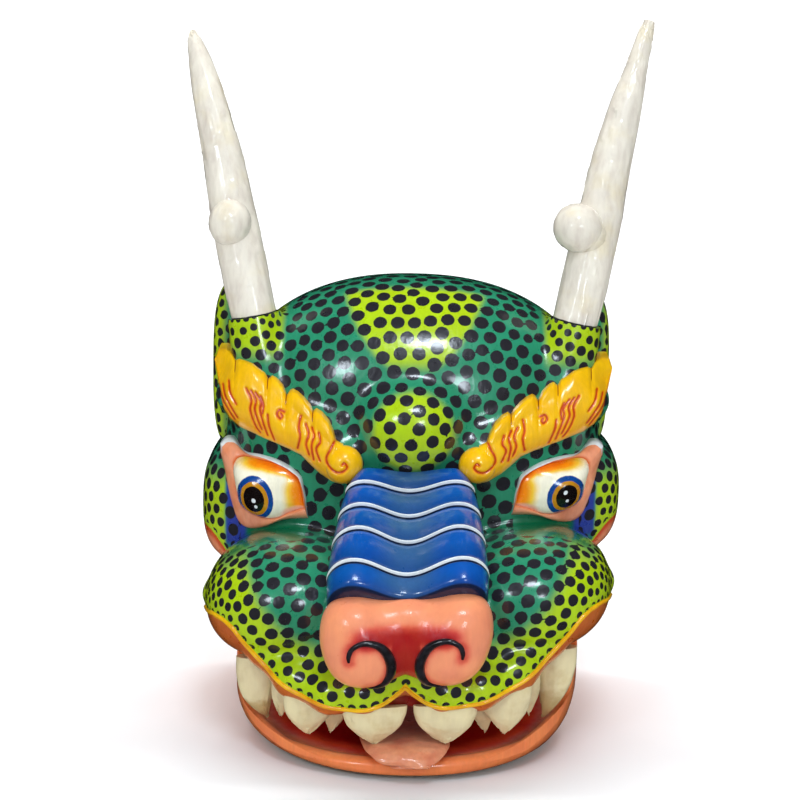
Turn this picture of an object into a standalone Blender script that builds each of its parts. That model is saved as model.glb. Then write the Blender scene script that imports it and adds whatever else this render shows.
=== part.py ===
"""Carved and painted wooden dance mask of a horned dragon deity, as separately carved pieces.

The face looks along -Y, +Z is up, and the origin is the middle of the footprint on the table.
Every size below is in millimetres; add_piece() scales each finished mesh to metres once.
The mask is laid out symmetrical, for +X, and hand_lean() then gives it its carver's slight skew.
"""

import math
from collections import namedtuple

import bmesh
import bpy
import numpy as np
from mathutils import Matrix, Vector

MM = 0.001

# Driving sizes
BACK_Y = 125.0  # the open back rim, a flat plane behind the wearer's ears
SPLIT_Z = 60.0  # the head block stands on the jaw at this height
UNDERCUT_Y = -45.0  # behind this line the head's underside is cut flat at the split
SEAT_GAP = 0.35  # clearance between a piece and what it is seated on
CRUMB = 0.02  # points of a cut edge closer than this are one point
FLAT_ANGLE = 0.003  # radians; faces that turn less than this are one flat
LEAN = 0.055  # how much higher the mask's left cheek was carved, per millimetre of width
HEAD_VOXEL = 6.5  # grain of the head's skin before it is thinned
HEAD_TRIANGLES = 2900
NOSE_VOXEL = 4.0
NOSE_TRIANGLES = 420
SIDES = (("left_hand", "left"), ("right_hand", "right"))

Form = namedtuple("Form", "name centre radii power blend back")
Limb = namedtuple("Limb", "name start end start_radius end_radius blend")
Ring = namedtuple("Ring", "x y z wide deep")
Brow = namedtuple("Brow", "top_x top_z low_x low_z y")
Ridge = namedtuple("Ridge", "name edge peak valley")
Tooth = namedtuple("Tooth", "name root tip bow wide deep")

# Swelling forms of the head: centre, half sizes, squareness, blend radius, squeeze behind the centre
HEAD_FORMS = (
    Form("skull", (0, 60, 190), (124, 72, 96), 2.25, 0, 0.70),
    Form("cheek_walls", (0, 62, 128), (124, 80, 98), 3.2, 10, 0.25),
    Form("forehead_boss", (0, -4, 198), (35, 27, 29), 2.1, 9, 1),
    Form("muzzle_core", (0, -36, 84), (62, 70, 46), 2.4, 6, 1),
    Form("muzzle_side", (76, -24, 97), (53, 62, 39), 2.2, 5, 1),
    Form("jowl", (98, 60, 140), (41, 52, 42), 2.8, 5, 0.6),
)
HEAD_LIMBS = (
    Limb("brow_shelf", (46, -6, 182), (112, 26, 212), 16, 16, 12),
    Limb("nose_ridge", (0, 8, 128), (0, -62, 84), 44, 44, 10),
    Limb("lip_middle", (0, -92, 66), (24, -93, 52), 9, 11, 6),
    Limb("lip_front", (24, -93, 52), (46, -89, 52), 11, 11, 6),
    Limb("lip_turn", (46, -89, 52), (69, -77, 59), 11, 11, 6),
    Limb("lip_side", (69, -77, 59), (88, -62, 73), 11, 11, 6),
    Limb("lip_rise", (88, -62, 73), (102, -48, 88), 11, 10, 6),
    Limb("lip_corner", (102, -48, 88), (124, -24, 98), 10, 7, 6),
    Limb("lip_back", (38, -80, 66), (78, -56, 78), 11, 11, 8),
)
# What is cut away inside: the wearer's hollow and the mouth
HOLLOWS = (
    Form("skull_hollow", (0, 60, 190), (103, 58, 78), 2.4, 0, 0.60),
    Form("face_hollow", (0, 64, 125), (106, 64, 112), 3.0, 0, 0.20),
    Form("mouth_hollow", (0, -8, 54), (78, 66, 46), 2.4, 0, 1),
)
NOSE_FORMS = (
    Form("nose_lobe", (25, -103.6, 82), (24, 21, 22), 2.1, 0, 1),
    Form("nose_wing", (33, -102, 98), (19, 19, 19), 2.2, 12, 1),
    Form("nose_middle", (0, -99, 91), (34, 18, 24), 2.4, 10, 1),
)

# The blue nose bridge: its stepped ridges from the root to the nose, as edge, hump and valley points
BRIDGE_RIDGES = (
    Ridge("root", (33, -22, 172), (27, -27, 177), (0, -22, 173)),
    Ridge("first", (41, -29, 160), (29, -37, 170), (0, -33, 163)),
    Ridge("second", (45, -43, 146), (30, -54, 160), (0, -50, 151)),
    Ridge("third", (48, -60, 132), (31, -75, 151), (0, -71, 140)),
    Ridge("fourth", (50, -80, 118), (33, -97, 137), (0, -93, 126)),
    Ridge("foot", (49, -92, 106), (34, -108, 123), (0, -104, 113)),
)
RIDGE_STEP = 2.2
RIDGE_RUN = 1.2
BRIDGE_HUMP = 0.62  # where across the half width each hump peaks
BRIDGE_OUTWARD = Vector((0, -0.52, 0.85))
BRIDGE_DOWNWARD = Vector((0, -0.85, -0.52))
BRIDGE_BACKING = (0, 16, -27)  # how far the bands' blind back lies behind their face
BRIDGE_SHRINK = 0.9

# The flame brows: edge points on the face, from the temple tip to the curl beside the nose
BROW_STATIONS = (
    Brow(126, 242, 129, 233, 27),
    Brow(121, 241, 127, 214, 22),
    Brow(113, 238, 121, 200, 14),
    Brow(103, 234, 111, 191, 6),
    Brow(93, 229, 99, 187, 0),
    Brow(84, 225, 90, 184, -6),
    Brow(74, 220, 80, 182, -12),
    Brow(64, 214, 71, 177, -18),
    Brow(55, 207, 63, 171, -24),
    Brow(47, 199, 55, 167, -29),
    Brow(39, 193, 46, 166, -33),
    Brow(33, 188, 37, 168, -36),
    Brow(30.5, 182, 31.5, 174, -37),
)
BROW_RISE = 9.0
BROW_BACKING = (0, 20, 0)  # how far the brow's blind back lies behind its face

# Horn axis and half widths, from the collar to the tip; the tips differ as they do on the mask
HORN_RINGS = (
    Ring(104.6, 32.8, 263.2, 14.6, 14.6),
    Ring(109.5, 38.0, 284.0, 15.4, 15.4),
    Ring(114.5, 44.0, 307.0, 15.4, 15.4),
    Ring(120.0, 50.0, 331.0, 14.8, 14.8),
    Ring(125.0, 56.0, 357.0, 13.6, 13.6),
    Ring(130.0, 61.0, 378.0, 12.4, 12.4),
    Ring(136.0, 67.0, 401.0, 10.6, 10.6),
    Ring(141.5, 73.0, 421.0, 8.0, 8.0),
)
HORN_TIPS = {
    "right": (Ring(146.0, 78.0, 436.0, 4.8, 4.8), Ring(147.5, 80.0, 442.5, 1.6, 1.6)),
    "left": (Ring(148.0, 79.0, 445.0, 5.6, 5.6), Ring(150.5, 81.0, 454.5, 3.8, 3.8)),
}
HORN_SPREAD = {"right": 2.2, "left": -1.7}  # how far each tip stands out beyond the mean
BUD_CENTRES = {"right": (119.5, 36, 324), "left": (107, 34, 323)}
BUD_RADII = {"right": 13.5, "left": 15.0}
COLLAR_TOP = Vector((104.5, 32.5, 262.4))
COLLAR_AXIS = Vector((0.19, 0.06, 0.96)).normalized()
COLLAR_DROPS = ((0, 16.2), (6, 16.4), (18, 16.8), (32, 18.5), (48, 22))

EAR_CENTRES = {"left": (112, 82, 221), "right": (116, 82, 222)}
EAR_RADII = (19, 26, 57)
EAR_SQUARENESS = 3.2
EAR_WALL = 6.0
EAR_CUP_SHIFT = Vector((0, 9, 0))  # how far the cup's hollow lies behind the ear's middle

EYE_CENTRE = (94, -1, 157)
EYE_RADII = (32, 17, 26)
EYE_TURN = 25.0  # degrees that each eye looks outward
# Lid lines as seen from the front, from the corner beside the nose to the temple
UPPER_LID = ((65, 146), (66, 157), (69, 168), (75, 176), (84, 180), (96, 181), (108, 181), (118, 186))
LOWER_LID = ((65, 143), (78, 139), (92, 137), (102, 136), (110, 139), (115, 149), (120, 164), (122, 177))
LID_RADIUS = 4.0

# Jaw: a U-shaped trough, open to the back and under the neck
JAW_FRONT = 104.0
JAW_SIDE = 111.0
NECK_SIDE = 60.0
NECK_FRONT = 35.0
JAW_WALL = 13.0
JAW_FLOOR = 6.0
JAW_SQUARENESS = 0.93
JAW_RIM_Y = (-104, -80, -55, -30, -10, 0)
JAW_RIM_Z = (10, 13, 23, 38, 53, SPLIT_Z - SEAT_GAP)
JAW_ROUNDING = (4, 34)  # radius of the lower edge in front and at the sides
JAW_STRAIGHT = 0.24  # share of the sweep that runs straight along each side

TONGUE_RINGS = (
    Ring(0, 20, 10.4, 24, 4.0),
    Ring(0, -20, 11.2, 28, 4.6),
    Ring(0, -60, 13.0, 29, 4.6),
    Ring(0, -90, 15.8, 28, 4.0),
    Ring(0, -102, 15.0, 25, 3.6),
    Ring(0, -108.6, 11.0, 19, 3.0),
    Ring(0, -109.8, 6.5, 11, 2.4),
)

GUM_FRONT = 90.0
GUM_SIDE = 99.0
GUM_THICK = 9.0
GUM_LINE = ((0, 42, 62), (30, 37.5, 60), (50, 37, 62), (70, 44, 66), (86, 53, 72))

# Teeth: middle of the root, tip, how far the middle bows outward, half width and half depth
TEETH = (
    Tooth("fang_front", (23, -95, 44), (23, -95, 18), 1, 20, 7),
    Tooth("fang_middle", (61, -81, 50), (62, -80, 19), 2, 17, 7),
    Tooth("fang_side", (94, -58, 66), (87, -53, 20), 4, 13, 8),
    Tooth("tooth_front", (44, -75.5, 42), (49, -72.5, 17), 0, 7, 4),
    Tooth("tooth_side", (76, -64, 54), (78, -62, 24), 1, 8, 4),
)
# How far along a tooth each ring lies, and its share of the root's size
TOOTH_TAPER = ((0, 1), (0.25, 0.96), (0.5, 0.82), (0.75, 0.52), (0.93, 0.2), (1, 0.06))

# Painted colours, as linear red, green and blue
GREEN = (0.045, 0.352, 0.171)
BLUE = (0.003, 0.114, 0.679)
SALMON = (0.871, 0.305, 0.156)
GOLD = (0.871, 0.515, 0.004)
IVORY = (0.745, 0.680, 0.402)
HORN_WHITE = (0.752, 0.716, 0.610)
EYE_WHITE = (0.807, 0.730, 0.445)
PEACH = (0.831, 0.402, 0.223)
MAROON = (0.305, 0.007, 0.003)
JAW_ORANGE = (0.680, 0.171, 0.053)
TONGUE_PINK = (0.716, 0.223, 0.127)


def hand_lean(points):
    """The carver's skew: the mask's left half of mouth and cheeks sits a little higher."""
    height = points[:, 2]
    grown = np.clip(height / 40, 0, 1)
    faded = np.clip((230 - height) / 130, 0, 1)
    leaned = points.copy()
    leaned[:, 2] += LEAN * points[:, 0] * grown * faded * faded * (3 - 2 * faded)
    return leaned


def form_distance(form, points):
    """Distance from each point to a squared ellipsoid, along the line from its centre."""
    offset = points - np.array(form.centre, float)
    offset[:, 1] = np.where(offset[:, 1] > 0, offset[:, 1] * form.back, offset[:, 1])
    ratio = np.abs(offset) / np.array(form.radii, float)
    level = np.maximum((ratio**form.power).sum(1) ** (1 / form.power), 1e-6)
    return np.linalg.norm(offset, axis=1) * (1 - 1 / level)


def limb_distance(limb, points):
    """Distance from each point to a tapering round limb."""
    start, end = np.array(limb.start, float), np.array(limb.end, float)
    along = end - start
    share = np.clip((points - start) @ along / (along @ along), 0, 1)
    radius = limb.start_radius + (limb.end_radius - limb.start_radius) * share
    return np.linalg.norm(points - start - share[:, None] * along, axis=1) - radius


def blended(first, second, radius):
    """Smooth union of two distances."""
    if radius <= 0:
        return np.minimum(first, second)
    share = np.clip(0.5 + 0.5 * (second - first) / radius, 0, 1)
    return second + (first - second) * share - radius * share * (1 - share)


def distance_to(forms, limbs, points):
    """Distance to all the forms and limbs, melted into each other and mirrored in X."""
    folded = np.array(points, float)
    folded[:, 0] = np.abs(folded[:, 0])
    total = form_distance(forms[0], folded)
    for form in forms[1:]:
        total = blended(total, form_distance(form, folded), form.blend)
    for limb in limbs:
        total = blended(total, limb_distance(limb, folded), limb.blend)
    return total


def front_y(x, z, nearest=-150.0, farthest=110.0, step=2.0, halvings=12):
    """Where a line along +Y first meets the head at each x and z; farthest where it misses."""
    found = np.full(len(x), farthest)
    open_yet = np.ones(len(x), bool)
    for y in np.arange(nearest, farthest, step):
        points = np.stack([x, np.full(len(x), y), z], axis=1)
        hit = open_yet & (distance_to(HEAD_FORMS, HEAD_LIMBS, points) < 0)
        found[hit] = y
        open_yet &= ~hit
    low, high = found - step, found.copy()
    for _ in range(halvings):
        middle = (low + high) / 2
        inside = distance_to(HEAD_FORMS, HEAD_LIMBS, np.stack([x, middle, z], axis=1)) < 0
        high = np.where(inside, middle, high)
        low = np.where(inside, low, middle)
    return np.where(open_yet, farthest, high)


def coordinates(made):
    return np.array([v.co[:] for v in made.verts])


def move_to(made, points):
    for vertex, point in zip(made.verts, points):
        vertex.co = Vector(point)


def as_object(name, made):
    """Puts a bmesh into the scene as an object and lets go of it."""
    mesh = bpy.data.meshes.new(name)
    made.to_mesh(mesh)
    made.free()
    held = bpy.data.objects.new(name, mesh)
    bpy.context.scene.collection.objects.link(held)
    return held


def through(made, kind, **settings):
    """The bmesh after one of Blender's modifiers."""
    held = as_object("in_work", made)
    modifier = held.modifiers.new(kind.title(), kind)
    for name, value in settings.items():
        setattr(modifier, name, value)
    graph = bpy.context.evaluated_depsgraph_get()
    shaped = held.evaluated_get(graph)
    result = bmesh.new()
    result.from_mesh(shaped.to_mesh())
    shaped.to_mesh_clear()
    mesh = held.data
    bpy.data.objects.remove(held, do_unlink=True)
    bpy.data.meshes.remove(mesh)
    return result


def is_closed(made):
    return len(made.faces) > 3 and all(edge.is_manifold for edge in made.edges)


def clean_triangles(made):
    """Triangles only, with crumbs merged and folded pairs of slivers taken away."""
    bmesh.ops.remove_doubles(made, verts=made.verts, dist=CRUMB)
    bmesh.ops.dissolve_degenerate(made, dist=CRUMB, edges=made.edges)
    bmesh.ops.dissolve_limit(made, angle_limit=FLAT_ANGLE, verts=made.verts, edges=made.edges)
    bmesh.ops.triangulate(made, faces=made.faces)
    while True:
        made.verts.index_update()
        same = {}
        for face in made.faces:
            same.setdefault(frozenset(v.index for v in face.verts), []).append(face)
        folded = [face for faces in same.values() if len(faces) > 1 for face in faces]
        if not folded:
            return made
        bmesh.ops.delete(made, geom=folded, context="FACES")


def cut(made, tool, operation="DIFFERENCE"):
    """The bmesh cut by, or joined to, the tool object; the second solver is for failed cuts."""
    for solver in ("EXACT", "MANIFOLD"):
        result = through(made.copy(), "BOOLEAN", operation=operation, solver=solver, object=tool)
        result = largest_body(clean_triangles(result))
        if is_closed(result):
            return result
    return result


def add_ball(made, centre, radii, power=2.0, back=1.0, segments=24):
    """A squared ellipsoid, drawn out behind its centre where back is under 1."""
    ball = bmesh.ops.create_uvsphere(made, u_segments=segments, v_segments=segments // 2, radius=1)
    for vertex in ball["verts"]:
        unit = vertex.co
        level = (abs(unit.x) ** power + abs(unit.y) ** power + abs(unit.z) ** power) ** (1 / power)
        place = Vector(unit[i] * radii[i] / level for i in range(3))
        place.y = place.y / back if place.y > 0 else place.y
        vertex.co = place + Vector(centre)


def carve(forms, limbs, voxel, triangles, rounds=5, bead_step=0.4):
    """One closed skin round all the forms, drawn onto their blended surface and thinned."""
    made = bmesh.new()
    for side in (1, -1):
        flip = Matrix.Diagonal((side, 1, 1))
        for form in forms:
            if side > 0 or form.centre[0] > 0:
                add_ball(made, flip @ Vector(form.centre), form.radii, form.power, form.back)
        for limb in limbs:
            start, end = Vector(limb.start), Vector(limb.end)
            beads = math.ceil((end - start).length / (bead_step * limb.start_radius))
            for bead in range(beads + 1):
                share = bead / beads
                radius = limb.start_radius + (limb.end_radius - limb.start_radius) * share
                add_ball(made, flip @ start.lerp(end, share), [radius] * 3, segments=12)
    made = through(made, "REMESH", mode="VOXEL", voxel_size=voxel)
    for _ in range(rounds):
        bmesh.ops.smooth_vert(made, verts=made.verts, factor=0.5)
        points = coordinates(made)
        for _ in range(3):
            points = drawn_in(forms, limbs, points)
        move_to(made, points)
    share = triangles / (2 * len(made.faces))
    return through(made, "DECIMATE", ratio=min(share, 1), use_symmetry=True, symmetry_axis="X")


def drawn_in(forms, limbs, points, reach=0.5):
    """Each point moved along the slope of the distance onto the surface."""
    here = distance_to(forms, limbs, points)
    slope = np.zeros_like(points)
    for axis in range(3):
        shift = np.zeros(3)
        shift[axis] = reach
        ahead = distance_to(forms, limbs, points + shift)
        behind = distance_to(forms, limbs, points - shift)
        slope[:, axis] = (ahead - behind) / (2 * reach)
    steep = np.maximum((slope**2).sum(1), 0.05)
    return points - slope * (here / steep)[:, None]


def sheet(columns, rows, place):
    """A grid whose vertices are put in place by place(across, along), arrays from 0 to 1."""
    made = bmesh.new()
    bmesh.ops.create_grid(made, x_segments=columns, y_segments=rows, size=0.5)
    across = np.array([v.co.x + 0.5 for v in made.verts])
    along = np.array([v.co.y + 0.5 for v in made.verts])
    move_to(made, place(across, along))
    return made


def thicken(made, offset, shrink=1.0):
    """Closes a sheet into a slab by extruding it along one offset."""
    bmesh.ops.recalc_face_normals(made, faces=made.faces)
    grown = bmesh.ops.extrude_face_region(made, geom=made.faces[:], use_keep_orig=True)
    fresh = [item for item in grown["geom"] if isinstance(item, bmesh.types.BMVert)]
    for vertex in fresh:
        vertex.co.x *= shrink
        vertex.co += Vector(offset)
    bmesh.ops.recalc_face_normals(made, faces=made.faces)
    return made


def wrapped(sides, count, place):
    """A tube closed round across (0 to 1) with filled ends, its points set by place."""
    made = sheet(sides, count, place)
    bmesh.ops.remove_doubles(made, verts=made.verts, dist=0.001)
    ends = [edge for edge in made.edges if edge.is_boundary]
    bmesh.ops.holes_fill(made, edges=ends, sides=0)
    bmesh.ops.recalc_face_normals(made, faces=made.faces)
    return made


def rod(rings, up, sides=12):
    """A closed round bar swept through the rings, each an ellipse across the path."""
    table = np.array([ring[:5] for ring in rings], float)
    path = np.gradient(table[:, :3], axis=0)
    path /= np.linalg.norm(path, axis=1)[:, None]
    level = np.cross(path, np.array(up, float))
    level /= np.linalg.norm(level, axis=1)[:, None]
    rise = np.cross(level, path)

    def place(across, along):
        ring = np.rint(along * (len(rings) - 1)).astype(int)
        turn = 2 * math.pi * np.where(across > 0.999, 0, across)
        outward = level[ring] * (table[ring, 3] * np.cos(turn))[:, None]
        return table[ring, :3] + outward + rise[ring] * (table[ring, 4] * np.sin(turn))[:, None]

    return wrapped(sides, len(rings) - 1, place)


def mirrored(made, side):
    """The bmesh as it is for the mask's left (+X), or turned over for its right."""
    if side == "right_hand":
        bmesh.ops.scale(made, vec=(-1, 1, 1), verts=made.verts)
        bmesh.ops.reverse_faces(made, faces=made.faces)
    return made


def largest_body(made):
    """Drops any crumb that a cut left behind."""
    left = set(made.verts)
    bodies = []
    while left:
        body, edge = set(), [left.pop()]
        while edge:
            vertex = edge.pop()
            body.add(vertex)
            near = [e.other_vert(vertex) for e in vertex.link_edges]
            edge += [v for v in near if v in left]
            left.difference_update(near)
        bodies.append(body)
    keep = max(bodies, key=len)
    crumbs = [v for v in made.verts if v not in keep]
    bmesh.ops.delete(made, geom=crumbs, context="VERTS")
    return made


class Bench:
    """The pieces made so far, each with a slightly swollen copy that its neighbours are cut with."""

    def __init__(self):
        self.swollen = {}

    def remember(self, name, made):
        """Keeps a copy of the piece, grown by the seat gap, as a hidden cutter."""
        copy = made.copy()
        bmesh.ops.recalc_face_normals(copy, faces=copy.faces)
        copy.normal_update()
        for vertex in copy.verts:
            vertex.co += vertex.normal * SEAT_GAP * vertex.calc_shell_factor()
        cutter = as_object("cutter_" + name, copy)
        cutter.hide_render = True
        cutter.display_type = "WIRE"
        self.swollen[name] = cutter

    def fit(self, made, *neighbours):
        """The piece with its neighbours' swollen copies cut away."""
        for name in neighbours:
            made = cut(made, self.swollen[name])
        return made

    def clear(self):
        for cutter in self.swollen.values():
            bpy.data.objects.remove(cutter, do_unlink=True)


def add_piece(name, made, colour, roughness=0.35, smooth_angle=45):
    """Leans a finished bmesh, scales it to metres and names it as an object."""
    clean_triangles(made)
    bmesh.ops.recalc_face_normals(made, faces=made.faces)
    move_to(made, hand_lean(coordinates(made)))
    bmesh.ops.scale(made, vec=(MM, MM, MM), verts=made.verts)
    piece = as_object(name, made)
    piece.data.shade_smooth()
    piece.data.set_sharp_from_angle(angle=math.radians(smooth_angle))
    material = bpy.data.materials.new(name)
    material.use_nodes = True
    shader = material.node_tree.nodes["Principled BSDF"]
    shader.inputs["Base Color"].default_value = (*colour, 1)
    shader.inputs["Roughness"].default_value = roughness
    piece.data.materials.append(material)
    return piece


def box(low, high):
    """A plain block between two corners."""
    made = bmesh.new()
    bmesh.ops.create_cube(made, size=1)
    low, high = Vector(low), Vector(high)
    bmesh.ops.scale(made, vec=high - low, verts=made.verts)
    bmesh.ops.translate(made, vec=(low + high) / 2, verts=made.verts)
    return made


def make_head_shell(bench):
    """The main block: one carved skin, cut flat behind and below, then hollowed."""
    block = clean_triangles(carve(HEAD_FORMS, HEAD_LIMBS, HEAD_VOXEL, HEAD_TRIANGLES))
    bench.remember("head_shell", block)
    behind = as_object("behind", box((-200, BACK_Y, -100), (200, 500, 400)))
    below = as_object("below", box((-200, UNDERCUT_Y, -100), (200, 500, SPLIT_Z)))
    tools = [behind, below]
    for form in HOLLOWS:
        ball = bmesh.new()
        add_ball(ball, form.centre, form.radii, form.power, form.back, segments=32)
        tools.append(as_object(form.name, ball))
    for tool in tools:
        block = cut(block, tool)
        bpy.data.objects.remove(tool, do_unlink=True)
    add_piece("head_shell", block, GREEN)


def ridge_profile(ridge, across):
    """Points across one row of the nose bridge: two humps with a valley between, steep outer sides."""
    edge, peak = np.array(ridge.edge, float), np.array(ridge.peak, float)
    valley = np.array(ridge.valley, float)
    reach = np.abs(across)
    beyond = reach >= BRIDGE_HUMP
    inner = (1 - np.cos(math.pi * np.clip(reach / BRIDGE_HUMP, 0, 1))) / 2
    outer = np.clip((reach - BRIDGE_HUMP) / (1 - BRIDGE_HUMP), 0, 1) * math.pi / 2
    points = np.zeros((len(across), 3))
    points[:, 0] = np.where(beyond, 0, peak[0] * reach / BRIDGE_HUMP)
    points[:, 0] += np.where(beyond, peak[0] + (edge[0] - peak[0]) * np.sin(outer), 0)
    points[:, 0] *= np.sign(across)
    for axis in (1, 2):
        rising = valley[axis] + (peak[axis] - valley[axis]) * inner
        falling = (edge[axis] - peak[axis]) * (1 - np.cos(outer))
        points[:, axis] = rising + np.where(beyond, falling, 0)
    return points


def make_nose_bridge(bench):
    """Overlapping blue bands down the nose, each band's lower edge standing proud of the next."""
    rows = [(BRIDGE_RIDGES[0], Vector())]
    for ridge in BRIDGE_RIDGES[1:-1]:
        rows.append((ridge, BRIDGE_OUTWARD * RIDGE_STEP))
        rows.append((ridge, BRIDGE_DOWNWARD * RIDGE_RUN))
    rows.append((BRIDGE_RIDGES[-1], Vector()))

    def place(across, along):
        number = np.rint(along * (len(rows) - 1)).astype(int)
        points = np.zeros((len(across), 3))
        for index, (ridge, shift) in enumerate(rows):
            here = number == index
            points[here] = ridge_profile(ridge, across[here] * 2 - 1) + np.array(shift)
        return points

    made = thicken(sheet(12, len(rows) - 1, place), BRIDGE_BACKING, BRIDGE_SHRINK)
    made = bench.fit(made, "head_shell")
    bench.remember("nose_bridge", made)
    add_piece("nose_bridge", made, BLUE)


def make_nose_pad(bench):
    """The salmon nose, melted from a lobe and a wing on each side and a middle."""
    made = carve(NOSE_FORMS, (), NOSE_VOXEL, NOSE_TRIANGLES)
    made = bench.fit(made, "head_shell", "nose_bridge")
    add_piece("nose_pad", made, SALMON)


def make_horns(bench):
    """Each collar grows out of the skull; the horn stands on it, with a round bud on its front."""
    for hand, side in SIDES:
        rings = [
            Ring(*(COLLAR_TOP - COLLAR_AXIS * drop), radius, radius) for drop, radius in COLLAR_DROPS
        ]
        collar = mirrored(rod(rings, up=(0, 1, 0), sides=16), hand)
        collar = bench.fit(collar, "head_shell", "brow_" + side)
        bench.remember("horn_collar_" + side, collar)
        add_piece("horn_collar_" + side, collar, GREEN)
        spread = HORN_SPREAD[side] / (HORN_TIPS[side][-1].z - HORN_RINGS[0].z)
        rings = [
            ring._replace(x=ring.x + spread * (ring.z - HORN_RINGS[0].z))
            for ring in HORN_RINGS + HORN_TIPS[side]
        ]
        horn = rod(rings, up=(0, 1, 0), sides=12)
        ball = bmesh.new()
        add_ball(ball, BUD_CENTRES[side], [BUD_RADII[side]] * 3, segments=14)
        bud = as_object("bud", ball)
        horn = cut(horn, bud, operation="UNION")
        bpy.data.objects.remove(bud, do_unlink=True)
        horn = bench.fit(mirrored(horn, hand), "horn_collar_" + side)
        add_piece("horn_" + side, horn, HORN_WHITE)


def make_ears(bench):
    """Leaf-shaped ears, rounded toward the front and cupped behind."""
    for hand, side in SIDES:
        made = bmesh.new()
        centre = Vector(EAR_CENTRES[side])
        add_ball(made, centre, EAR_RADII, EAR_SQUARENESS, segments=16)
        hollow = bmesh.new()
        inner = [radius - EAR_WALL for radius in EAR_RADII]
        add_ball(hollow, centre + EAR_CUP_SHIFT, inner, EAR_SQUARENESS, segments=12)
        cup = as_object("cup", hollow)
        made = cut(made, cup)
        bpy.data.objects.remove(cup, do_unlink=True)
        made = bench.fit(mirrored(made, hand), "head_shell", "horn_collar_" + side, "brow_" + side)
        add_piece("ear_" + side, made, GREEN)


def make_eyes(bench):
    """A bulging eyeball with a carved lid above and below it."""
    for hand, side in SIDES:
        ball = bmesh.new()
        add_ball(ball, (0, 0, 0), EYE_RADII, segments=16)
        turn = Matrix.Rotation(math.radians(EYE_TURN), 3, "Z")
        bmesh.ops.rotate(ball, matrix=turn, verts=ball.verts)
        bmesh.ops.translate(ball, vec=EYE_CENTRE, verts=ball.verts)
        ball = bench.fit(mirrored(ball, hand), "head_shell")
        bench.remember("eyeball_" + side, ball)
        add_piece("eyeball_" + side, ball, EYE_WHITE)
        for name, line in (("upper", UPPER_LID), ("lower", LOWER_LID)):
            x, z = np.array(line, float).T
            y = np.minimum(front_y(x, z), EYE_CENTRE[1]) - 1
            rings = [Ring(*point, LID_RADIUS, LID_RADIUS) for point in zip(x, y, z)]
            lid = rod(rings, up=(0, 1, 0), sides=6)
            others = ["upper_eyelid_" + side] if name == "lower" else []
            lid = bench.fit(mirrored(lid, hand), "head_shell", "eyeball_" + side, *others)
            bench.remember(name + "_eyelid_" + side, lid)
            add_piece(name + "_eyelid_" + side, lid, PEACH)


def make_brows(bench):
    """Flame-shaped brows lying on the brow shelf, domed across."""
    table = np.array(BROW_STATIONS, float)
    rows = 4

    def place(across, along):
        station = np.rint(across * (len(table) - 1)).astype(int)
        here = table[station]
        x = here[:, 2] + (here[:, 0] - here[:, 2]) * along
        z = here[:, 3] + (here[:, 1] - here[:, 3]) * along
        y = np.minimum(front_y(x, z), here[:, 4] + 8)
        rise = BROW_RISE * np.sqrt(np.clip(1 - (2 * along - 1) ** 2, 0, 1))
        return np.stack([x, y - rise - 0.5, z], axis=1)

    for hand, side in SIDES:
        made = thicken(sheet(len(table) - 1, rows, place), BROW_BACKING)
        names = ("head_shell", "nose_bridge", "eyeball_" + side, "upper_eyelid_" + side)
        made = bench.fit(mirrored(made, hand), *names)
        bench.remember("brow_" + side, made)
        add_piece("brow_" + side, made, GOLD)


def make_upper_gum(bench):
    """The dark red gum behind the upper lip."""
    line = np.array(GUM_LINE, float)
    x = np.linspace(-GUM_LINE[-1][0], GUM_LINE[-1][0], 13)
    low = np.interp(np.abs(x), line[:, 0], line[:, 1])
    high = np.interp(np.abs(x), line[:, 0], line[:, 2])
    y = -GUM_FRONT * np.sqrt(1 - (x / GUM_SIDE) ** 2)
    rings = [
        Ring(a, b, (c + d) / 2, GUM_THICK / 2, (d - c) / 2) for a, b, c, d in zip(x, y, low, high)
    ]
    made = bench.fit(rod(rings, up=(0, 0, 1), sides=6), "head_shell")
    bench.remember("upper_gum", made)
    add_piece("upper_gum", made, MAROON)


def make_teeth(bench):
    """Curved fangs and small teeth hanging from the upper gum."""
    for hand, side in SIDES:
        for tooth in TEETH:
            root, tip = Vector(tooth.root), Vector(tooth.tip)
            outward = Vector((root.x * 0.6, root.y, 0)).normalized()
            rings = []
            for share, size in TOOTH_TAPER:
                centre = root.lerp(tip, share) + outward * tooth.bow * math.sin(math.pi * share)
                rings.append(Ring(*centre, tooth.wide * size, tooth.deep * size))
            made = rod(rings, up=(0, 1, 0), sides=8)
            made = bench.fit(mirrored(made, hand), "head_shell", "upper_gum")
            add_piece(tooth.name + "_" + side, made, IVORY)


def jaw_plan(along):
    """Outer and inner points in plan, from the back of one side round the front to the other."""
    turn = np.clip((along - JAW_STRAIGHT) / (1 - 2 * JAW_STRAIGHT), 0, 1) * math.pi
    back = np.clip(1 - along / JAW_STRAIGHT, 0, 1) + np.clip(1 - (1 - along) / JAW_STRAIGHT, 0, 1)
    sideways = np.sign(np.cos(turn)) * np.abs(np.cos(turn)) ** JAW_SQUARENESS
    forward = np.sin(turn) ** JAW_SQUARENESS
    outer = np.stack([JAW_SIDE * sideways, BACK_Y * back - JAW_FRONT * forward], axis=1)
    neck_middle = NECK_FRONT + NECK_SIDE / 2
    inner_y = neck_middle - NECK_SIDE / 2 * np.sin(turn) + (BACK_Y - neck_middle) * back
    inner = np.stack([NECK_SIDE * np.cos(turn), inner_y], axis=1)
    return outer, inner, np.sin(turn)


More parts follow.
